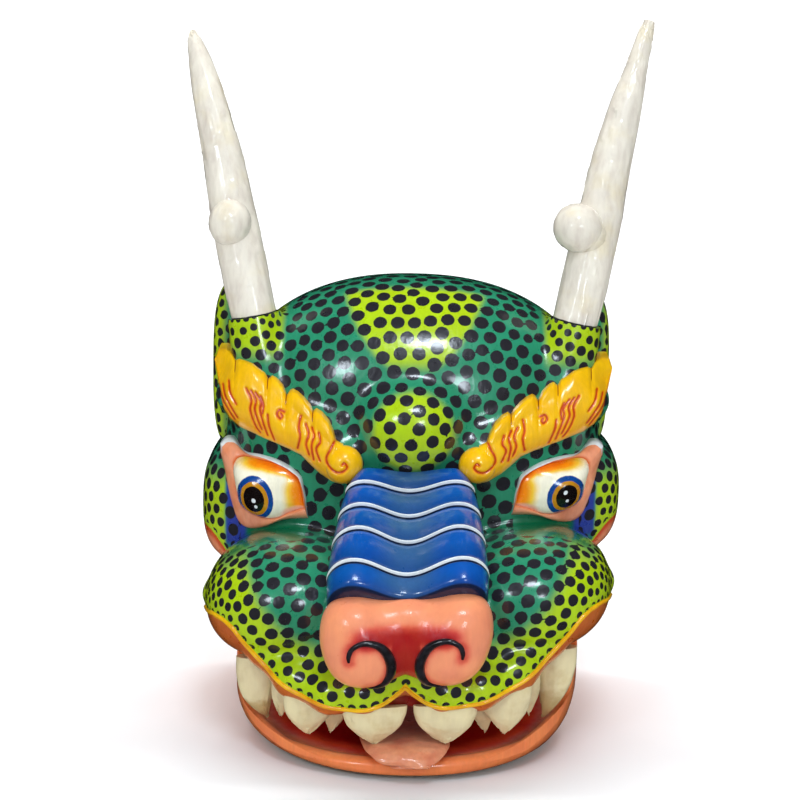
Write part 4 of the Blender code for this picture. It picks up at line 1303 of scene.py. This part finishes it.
def smoothed_grid(values, along, across):
    """Values on the brow's grid, each row evened out along the brow."""
    order = np.lexsort((across, along))
    run = len(np.unique(across.round(6)))
    grid = values[order].reshape(-1, run)
    padded = np.pad(grid, ((0, 0), (6, 6)), mode="edge")
    grid = np.mean([padded[:, k:k + run] for k in range(13)], axis=0)
    result = np.empty_like(values)
    result[order] = grid.ravel()
    return result


def brow_curl():
    made = bmesh.new()
    bmesh.ops.create_uvsphere(made, u_segments=96, v_segments=48, radius=1)
    bmesh.ops.rotate(made, matrix=Matrix.Rotation(math.pi / 2, 3, "X"), verts=made.verts)
    points = coordinates(made)
    front = brow_base(np.array([CURL_MIDDLE[0]]), np.array([CURL_MIDDLE[1]]))[0]
    points *= CURL_RADII
    points += (CURL_MIDDLE[0], front, CURL_MIDDLE[1])
    cuts = np.exp(-((to_cut(points[:, 0], points[:, 2]) / CURL_CUT_WIDE) ** 2))
    points[:, 1] += np.where(points[:, 1] < front, CURL_CUT_DEEP * cuts, 0)
    return move_to(made, points)


# %% Paint the brows
NOTCH_SHARE, NOTCH_FADE = 0.86, 9  # a notch shows above this share of the brow's height
EDGE_END, NO_EDGE = 122, 9.0  # the pale lower edge ends here


def brow_guides(points):
    x, z = np.abs(points[:, 0]), points[:, 2]
    low = np.interp(x, *np.array(BROW_LOW)[::-1].T)
    top = np.interp(x, *np.array(BROW_TOP)[::-1].T)
    up = (z - low) / np.maximum(top - low, 1)
    notch = np.min([np.abs(x - at) for at in NOTCHES[1:-1]], axis=0)
    notch = notch + NOTCH_FADE * np.maximum(NOTCH_SHARE - up, 0)
    from_low = np.where(x < EDGE_END, z - low, NO_EDGE)
    return {"cut": to_cut(x, z), "up_brow": up, "notch": notch, "from_low": from_low}


def brow_paint():
    mix = Recipe("flame_brow_paint")
    up = mix.guide("up_brow")
    colour = mix.mix(mix.step(up, 0.0, 0.45), LOW_GOLD, GOLD)
    colour = mix.mix(mix.step(mix.noise(9), 0.55, 0.85), colour, AMBER)
    cut_line = mix.uneven(mix.guide("cut"), 3, 0.8)
    glow = mix.sum("MULTIPLY", mix.step(cut_line, 1.7, 0.7), 0.7)
    colour = mix.mix(glow, colour, CUT_GLOW)
    colour = mix.mix(mix.step(mix.guide("from_low"), 1.1, 0.7), colour, PALE_EDGE)
    colour = mix.mix(mix.step(cut_line, 0.75, 0.45), colour, FLAME)
    colour = mix.mix(mix.step(mix.guide("notch"), 0.5, 0.2), colour, NOTCH_BROWN)
    return mix.lacquer(colour, worn=0.3, bump=0.3)


FLAMES = brow_paint()
for side, hand in SIDES.items():
    flame = mirrored(brow_flame(), side)
    finish("flame_brow_" + hand, flame, ("brow_" + hand,), FLAMES, brow_guides, sharp=60)
    finish("brow_curl_" + hand, mirrored(brow_curl(), side), (), FLAMES, brow_guides, sharp=60)

# %% [markdown]
# ## Horns
# Each horn is a slender bar whittled with a knife, so its rings drift a little and the paint shows
# the cuts. A round bud stands on its front, on the left horn with a smaller one beside it. A
# lathe-smooth cone would look like plastic.

# %% Sweep the horns and add their buds
HORN_RINGS = (
    (104.0, 32.4, 260.4, 14.8), (109.5, 38.0, 284.0, 15.4), (114.5, 44.0, 307.0, 15.4),
    (120.0, 50.0, 331.0, 14.8), (125.0, 56.0, 357.0, 13.6), (130.0, 61.0, 378.0, 12.4),
    (136.0, 67.0, 401.0, 10.6), (141.5, 73.0, 421.0, 8.0),
)
HORN_TIPS = {
    RIGHT: ((146.0, 78.0, 436.0, 4.8), (147.5, 80.0, 442.5, 1.6)),
    LEFT: ((148.0, 79.0, 445.0, 5.6), (150.5, 81.0, 454.5, 3.8)),
}
HORN_SPREAD = {RIGHT: 2.2, LEFT: -1.7}
BUDS = {
    RIGHT: (((120.6, 36, 321.8), (14.0, 13.5, 15.4)),),
    LEFT: (((104, 34, 324), (16.0, 15.5, 16.0)), ((110, 38, 319), (13.5, 13, 13.5))),
}
THINNEST, HORN_SEED = 1.0, 21


def horn(side):
    rows = np.array(HORN_RINGS + HORN_TIPS[side], float)
    rows[:, 0] += HORN_SPREAD[side] * (rows[:, 2] - rows[0, 2]) / (rows[-1, 2] - rows[0, 2])
    fine = spline(rows, 200)
    fine[:, 3] = np.maximum(fine[:, 3], THINNEST)
    made = rod(np.column_stack([fine, fine[:, 3]]), up=(0, 1, 0), sides=72)
    for centre, radii in BUDS[side]:
        made = cut(made, add_ball(bmesh.new(), centre, radii, segments=80), operation="UNION")
    return whittle(made, cuts=420, depth=0.26, reach=10, seed=HORN_SEED + side)


def horn_guides(points):
    return {"over_collar": (folded(points) - np.array(COLLAR_TOP)) @ np.array(COLLAR_AXIS)}


def horn_paint():
    mix = Recipe("horn_paint")
    streak = mix.noise(7, 4, (1, 1, 0.3))
    colour = mix.mix(mix.step(streak, 0.4, 0.75), HORN_WHITE, HORN_GREY)
    colour = mix.mix(mix.sum("MULTIPLY", mix.step(mix.noise(26), 0.48, 0.72), 0.5), colour, HORN_CREAM)
    foot = mix.uneven(mix.guide("over_collar"), 4, 0.8)
    colour = mix.mix(mix.step(foot, 1.0, 0.6), colour, CHARCOAL)
    return mix.lacquer(colour, roughness=0.34, coat=0.7, worn=0.3, bump=0.3, grain=0.12)


HORN = horn_paint()
for side, hand in SIDES.items():
    bar = mirrored(horn(side), side)
    finish("whittled_horn_" + hand, bar, ("horn_" + hand,), HORN, horn_guides)

# %% [markdown]
# ## Ears
# The ears are leaf-shaped cups behind the horns, with a lime edge and small dots. Each is a squared
# ball with a smaller one cut out behind, and it ends inside the head's wall so that the wearer's
# hollow stays clear. A bent sheet would do too, but it would need a thickness and a rim of its own.

# %% Carve the ears
EAR_CENTRES = {LEFT: (112, 82, 221), RIGHT: (116, 82, 222)}
EAR_RADII, EAR_WALL, EAR_SQUARENESS = (19, 26, 57), 6.0, 3.2
CUP_BACK, KEPT_FROM_HOLLOW = 9, 4.0


def ear(side):
    centre = Vector(EAR_CENTRES[side])
    made = add_ball(bmesh.new(), centre, EAR_RADII, EAR_SQUARENESS, segments=150)
    inner = [radius - EAR_WALL for radius in EAR_RADII]
    hollow = add_ball(bmesh.new(), centre + Vector((0, CUP_BACK, 0)), inner, EAR_SQUARENESS, segments=64)
    made = cut(made, hollow)
    for form in HOLLOWS[:2]:
        made = cut(made, ball_of(form, grown=KEPT_FROM_HOLLOW))
    return made


def ear_level(points):
    """1 on the ear's outside and less within it, the offset from its middle, and that middle."""
    side = LEFT if points[:, 0].mean() > 0 else RIGHT
    centre = np.array(EAR_CENTRES[side], float) * (side, 1, 1)
    offset = points - centre
    ratio = np.abs(offset) / np.array(EAR_RADII, float)
    return (ratio**EAR_SQUARENESS).sum(1) ** (1 / EAR_SQUARENESS), offset, centre


def onto_ear(centres):
    level, offset, middle = ear_level(centres)
    return middle + offset / level[:, None]


EAR_EDGE, EAR_PITCH, EDGE_TIGHTER = (122, 129), 9.6, 2.4
ON_OUTSIDE, CUP_RIM = 0.985, 104


def ear_guides(points):
    level, _, _ = ear_level(points)
    edge = ease(np.abs(points[:, 0]), *EAR_EDGE)
    allowed = (level > ON_OUTSIDE) & (points[:, 1] < CUP_RIM)
    guides = dot_guides(points, EAR_PITCH - EDGE_TIGHTER * edge, allowed, onto_ear)
    guides["lime"] = edge
    return guides


def ear_paint():
    mix = Recipe("ear_lacquer_with_dots")
    return mix.lacquer(dotted(mix, mix.mix(mix.guide("lime"), GREEN, LIME)))


EAR = ear_paint()
for side, hand in SIDES.items():
    leaf = mirrored(ear(side), side)
    finish("leaf_ear_" + hand, leaf, ("ear_" + hand,), EAR, ear_guides)

# %% [markdown]
# ## Gum and teeth
# The teeth are cut from one wood, with flat knife facets and painted tan shade low on the side ones.
# Each is a tapering bar with a flattened section. Most bow outward, and some are set a little off
# their mark by hand. A cone would be quicker, but its round section would miss the leaf shape of
# the fangs.

# %% Gum, fangs and small teeth
GUM_LINE = ((0, 42, 62), (30, 37.5, 60), (50, 37, 62), (70, 44, 66), (86, 53, 72))
GUM_FRONT, GUM_SIDE, GUM_THICK = 90.0, 99.0, 9.0
Tooth = namedtuple("Tooth", "name root tip bow wide deep")
TEETH = (
    Tooth("fang_front", (23, -95, 44), (23, -95, 18), 1, 20, 7),
    Tooth("fang_middle", (61, -81, 50), (62, -80, 19), 2, 17, 7),
    Tooth("fang_side", (94, -58, 66), (87, -53, 20), 4, 13, 8),
    Tooth("tooth_front", (44, -75.5, 42), (48.5, -72.5, 17), 0, 8.5, 4),
    Tooth("tooth_side", (76, -64, 54), (78, -62, 24), 1, 8, 4),
)
HAND_SET = {  # mm to the mask's left
    ("fang_front", RIGHT): 4.6, ("fang_front", LEFT): 2.0, ("fang_middle", RIGHT): 2.6,
    ("tooth_front", LEFT): 2.5, ("tooth_front", RIGHT): 2.0,
}
TOOTH_SEED = 40
TAPER = ((0, 1), (0.25, 0.96), (0.5, 0.81), (0.75, 0.48), (0.93, 0.17), (1, 0.05))


def gum():
    line = np.array(GUM_LINE, float)
    x = np.linspace(-line[-1, 0], line[-1, 0], 80)
    low, high = (np.interp(np.abs(x), line[:, 0], line[:, k]) for k in (1, 2))
    y = -GUM_FRONT * np.sqrt(1 - (x / GUM_SIDE) ** 2)
    half = np.full(len(x), GUM_THICK / 2)
    rows = np.stack([x, y, (low + high) / 2, half, (high - low) / 2], axis=1)
    return rod(rows, up=(0, 0, 1), sides=20)


def tooth_bar(tooth, seed):
    root, tip = Vector(tooth.root), Vector(tooth.tip)
    outward = Vector((root.x * 0.6, root.y, 0)).normalized()
    rows = []
    for share, size in TAPER:
        centre = root.lerp(tip, share) + outward * tooth.bow * math.sin(math.pi * share)
        rows.append((*centre, tooth.wide * size, tooth.deep * size))
    made = rod(spline(rows, 56), up=(0, 1, 0), sides=56)
    return whittle(made, cuts=50, depth=0.35, reach=9, seed=seed)


def tooth_paint():
    mix = Recipe("tooth_paint")
    colour = mix.mix(mix.step(mix.noise(12, 3), 0.45, 0.8), IVORY, OLD_IVORY)
    shade = mix.uneven(mix.axis("Z"), 7, 16)
    side = mix.step(mix.sum("ABSOLUTE", mix.axis("X")), 78, 86)
    # Tan on the lower part of the side teeth is painted shade.
    lower_shade = mix.sum("MULTIPLY", side, mix.step(shade, 42, 32))
    colour = mix.mix(mix.sum("MULTIPLY", lower_shade, 0.8), colour, TAN)
    return mix.lacquer(colour, roughness=0.36, coat=0.7, worn=0.3, bump=0.3, grain=0.14)


def gum_paint():
    mix = Recipe("dark_red_paint")
    colour = mix.mix(mix.step(mix.noise(8), 0.4, 0.7), MAROON, GUM_RED)
    return mix.lacquer(colour, coat=0.4, worn=0.2)


finish("red_gum", gum(), ("upper_gum",), gum_paint())
TOOTH = tooth_paint()
for seed, tooth in enumerate(TEETH):
    for side, hand in SIDES.items():
        made = mirrored(tooth_bar(tooth, TOOTH_SEED + 3 * seed + side), side)
        bmesh.ops.translate(made, vec=(HAND_SET.get((tooth.name, side), 0), 0, 0), verts=made.verts)
        finish(f"carved_{tooth.name}_{hand}", made, (f"{tooth.name}_{hand}",), TOOTH)

# %% [markdown]
# ## Jaw and tongue
# The jaw is a scoop: a rounded trough whose rim rises toward the cheeks. One section is swept round
# a U-shaped plan, and the distance in from that plan's outline tells the paint where the rim ends
# and the dark red mouth begins. Hollowing a block would also work, but the rim would be harder to
# round. The tongue lies in the jaw and hangs over its front.

# %% Sweep the jaw
JAW_FRONT, JAW_SIDE, NECK_SIDE, NECK_FRONT = 104.0, 111.0, 60.0, 35.0
JAW_WALL, JAW_FLOOR, JAW_SQUARENESS = 13.0, 6.0, 0.93
JAW_RIM_Y = (-104, -80, -55, -30, -10, 0)
JAW_RIM_Z = (10, 13, 23, 38, 53, 59.65)
JAW_ROUNDING = (4, 34)  # of the outer lower edge, at the front and at the sides
STRAIGHT = 0.24  # the share of the plan that each straight side takes
JAW_SCALE = 105  # mm, turns the plan's shares into depth
RIM_ROUNDING, CORNER = 4, 5


def jaw_plan(along):
    turn = np.clip((along - STRAIGHT) / (1 - 2 * STRAIGHT), 0, 1) * math.pi
    back = np.clip(1 - along / STRAIGHT, 0, 1) + np.clip(1 - (1 - along) / STRAIGHT, 0, 1)
    sideways = np.sign(np.cos(turn)) * np.abs(np.cos(turn)) ** JAW_SQUARENESS
    forward = np.sin(turn) ** JAW_SQUARENESS
    outer = np.stack([JAW_SIDE * sideways, BACK_Y * back - JAW_FRONT * forward], axis=1)
    middle = NECK_FRONT + NECK_SIDE / 2
    inner_y = middle - NECK_SIDE / 2 * np.sin(turn) + (BACK_Y - middle) * back
    return outer, np.stack([NECK_SIDE * np.cos(turn), inner_y], axis=1), np.sin(turn)


def jaw_section(depth, rounding, rim):
    """Run inward and height of each stop, from the neck under the floor, up the outside and back in."""
    flat = 0 * rim
    drop = np.minimum(RIM_ROUNDING, rim / 3)
    low = np.minimum(rim - drop, JAW_FLOOR + CORNER)
    quarter = [step / 8 * math.pi / 2 for step in range(9)]
    half = [step / 8 * math.pi for step in range(1, 8)]
    stops = [(depth, flat)]
    stops += [(rounding * (1 - math.sin(a)), rounding * (1 - math.cos(a))) for a in quarter]
    stops += [(flat, rim - drop)]
    stops += [(JAW_WALL / 2 * (1 - math.cos(a)) + flat, rim - drop + drop * math.sin(a)) for a in half]
    stops += [
        (flat + JAW_WALL, rim - drop), (flat + JAW_WALL + 1, (rim - drop + low) / 2),
        (flat + JAW_WALL + 2, low), (flat + JAW_WALL + CORNER, (low + JAW_FLOOR) / 2 - 0.6),
        (flat + JAW_WALL + 9, flat + JAW_FLOOR), (depth, flat + JAW_FLOOR), (depth, flat),
    ]
    return (np.array([stop[k] for stop in stops]) for k in (0, 1))


def jaw():
    def place(across, along):
        outer, inner, frontness = jaw_plan(along)
        inward = inner - outer
        depth = np.linalg.norm(inward, axis=1)
        inward /= depth[:, None]
        rounding = JAW_ROUNDING[1] + (JAW_ROUNDING[0] - JAW_ROUNDING[1]) * frontness**2
        runs, heights = jaw_section(depth, rounding, np.interp(outer[:, 1], JAW_RIM_Y, JAW_RIM_Z))
        at = np.minimum(across, 0.99999) * (len(runs) - 1)
        cell = at.astype(int)
        share = at - cell
        pick = np.arange(len(across))
        run = runs[cell, pick] * (1 - share) + runs[cell + 1, pick] * share
        height = heights[cell, pick] * (1 - share) + heights[cell + 1, pick] * share
        plan = outer + inward * run[:, None]
        return np.stack([plan[:, 0], plan[:, 1], height], axis=1)

    return wrapped(60, 220, place)


def jaw_guides(points):
    reach = (points[:, 0] / JAW_SIDE) ** 2 + (np.minimum(points[:, 1], 0) / JAW_FRONT) ** 2
    return {"inward": (1 - np.sqrt(reach)) * JAW_SCALE, "under": ease(2 - points[:, 2], 0, 1.5)}


def jaw_paint():
    mix = Recipe("jaw_lacquer")
    inward = mix.uneven(mix.guide("inward"), 10, 5)
    colour = mix.mix(mix.step(inward, 14, 24), JAW, BLUSH)
    colour = mix.mix(mix.step(inward, 22, 38), colour, MAROON)
    colour = mix.mix(mix.step(mix.guide("under"), 0.3, 0.7), colour, BARE_WOOD)
    return mix.lacquer(colour, worn=0.5, bare=mix.step(inward, 14, 26))


finish("jaw_scoop", jaw(), ("lower_jaw",), jaw_paint(), jaw_guides, sharp=50)

# %% The tongue
TONGUE_RINGS = (
    (0, 20, 10.4, 24, 4.0), (0, -20, 11.2, 28, 4.6), (0, -60, 13.0, 29, 4.6), (1.5, -90, 15.8, 27, 4.0),
    (2.5, -102, 15.4, 24, 3.8), (3, -108.6, 12.0, 18, 3.4), (3, -109.8, 8.2, 10, 2.4),
)


def tongue():
    made = rod(spline(TONGUE_RINGS, 120), up=(0, 0, 1), sides=64)
    return whittle(made, cuts=70, depth=0.25, reach=9, seed=9)


def tongue_paint():
    mix = Recipe("tongue_lacquer")
    colour = mix.mix(mix.step(mix.noise(14), 0.38, 0.7), TONGUE, TONGUE_SHADE)
    colour = mix.mix(mix.step(mix.axis("Y"), -92, -60), colour, TONGUE_ROOT)
    return mix.lacquer(colour, worn=0.3)


finish("carved_tongue", tongue(), ("tongue",), tongue_paint())

# %% [markdown]
# ## Stage, lights and camera
# The mask stands on a pale studio sweep. Three small windows, high, low and at the left, are the only
# lamps that the lacquer mirrors, so its highlights are small and crisp. Two wide fills, one lamp
# overhead, one on the backdrop and a pale room soften the shadows but aren't mirrored, because broad
# reflections would wash the colours out. The camera repeats the photograph's telephoto view, a little
# from above.

# %% Studio sweep
SWEEP = ((-3.0, 0.0), (-1.0, 0.0), (0.8, 0.0), (1.25, 0.06), (1.6, 0.3), (1.75, 0.8), (1.8, 3.0))


def studio_sweep():
    path = spline(SWEEP, 60)

    def place(across, along):
        spot = np.rint(along * (len(path) - 1)).astype(int)
        return np.stack([(across - 0.5) * 8, path[spot, 0], path[spot, 1] - 0.0002], axis=1)

    made = sheet(4, len(path) - 1, place)
    bmesh.ops.recalc_face_normals(made, faces=made.faces)
    mesh = bpy.data.meshes.new("studio_sweep")
    made.to_mesh(mesh)
    made.free()
    mesh.shade_smooth()
    floor = bpy.data.objects.new("studio_sweep", mesh)
    bpy.context.scene.collection.objects.link(floor)
    pale = bpy.data.materials.new("pale_paper")
    pale.use_nodes = True
    pale.node_tree.nodes["Principled BSDF"].inputs["Base Color"].default_value = PAPER
    pale.node_tree.nodes["Principled BSDF"].inputs["Roughness"].default_value = 0.9
    mesh.materials.append(pale)
    floor.visible_glossy = False


studio_sweep()


# %% Soft lights
def soft_light(name, place, size, power, aim=(0, 0, 0.18), colour=(1, 1, 1), mirrored_in_coat=False):
    lamp = bpy.data.lights.new(name, "AREA")
    lamp.shape = "RECTANGLE"
    lamp.size, lamp.size_y = size
    lamp.energy = power
    lamp.color = colour
    light = bpy.data.objects.new(name, lamp)
    light.location = place
    light.rotation_euler = (Vector(aim) - Vector(place)).to_track_quat("-Z", "Y").to_euler()
    light.visible_glossy = mirrored_in_coat
    bpy.context.scene.collection.objects.link(light)


DAYLIGHT = (0.80, 0.90, 1.0)
soft_light("high_window", (0.12, -1.1, 1.5), (0.34, 0.26), 7, colour=DAYLIGHT, mirrored_in_coat=True)
soft_light("low_window", (0.42, -1.7, 0.75), (0.20, 0.30), 4, colour=DAYLIGHT, mirrored_in_coat=True)
soft_light("left_window", (-0.75, -1.5, 1.0), (0.20, 0.30), 4, colour=DAYLIGHT, mirrored_in_coat=True)
soft_light("left_fill", (-1.2, -1.3, 0.9), (0.9, 1.1), 5.5, colour=(1, 0.98, 0.95))
soft_light("right_fill", (1.3, -1.2, 0.8), (0.9, 1.1), 4.5)
soft_light("overhead", (0, -0.2, 1.7), (1.0, 0.8), 5)
soft_light("backdrop", (0, 0.5, 1.9), (1.8, 0.5), 36, aim=(0, 1.8, 0.5))
world = bpy.data.worlds.new("pale_room")
world.use_nodes = True
world.node_tree.nodes["Background"].inputs["Color"].default_value = (0.95, 0.97, 1, 1)
world.node_tree.nodes["Background"].inputs["Strength"].default_value = 0.27
world.cycles_visibility.glossy = False
bpy.context.scene.world = world
bpy.context.scene.view_settings.view_transform = "Standard"

# %% Camera at the photograph's angle
ELEVATION, TURN, ROLL = (math.radians(angle) for angle in (12, 0.6, 1.2))
DISTANCE, AIM = 1.4, Vector((-0.0079, 0, 0.215))
SENSOR, PHOTO_PIXELS, MM_PER_PIXEL = 36, 800, 0.64
LENS = SENSOR * (1000 * DISTANCE / MM_PER_PIXEL) / PHOTO_PIXELS


def photo_camera():
    back = Vector((
        math.cos(ELEVATION) * math.sin(TURN), -math.cos(ELEVATION) * math.cos(TURN), math.sin(ELEVATION),
    ))
    lens = bpy.data.cameras.new("photo_view")
    lens.sensor_width = SENSOR
    lens.lens = LENS
    camera = bpy.data.objects.new("photo_view", lens)
    camera.location = AIM + back * DISTANCE
    turn = (-back).to_track_quat("-Z", "Y").to_matrix() @ Matrix.Rotation(ROLL, 3, "Z")
    camera.rotation_euler = turn.to_euler()
    bpy.context.scene.collection.objects.link(camera)
    bpy.context.scene.camera = camera


photo_camera()
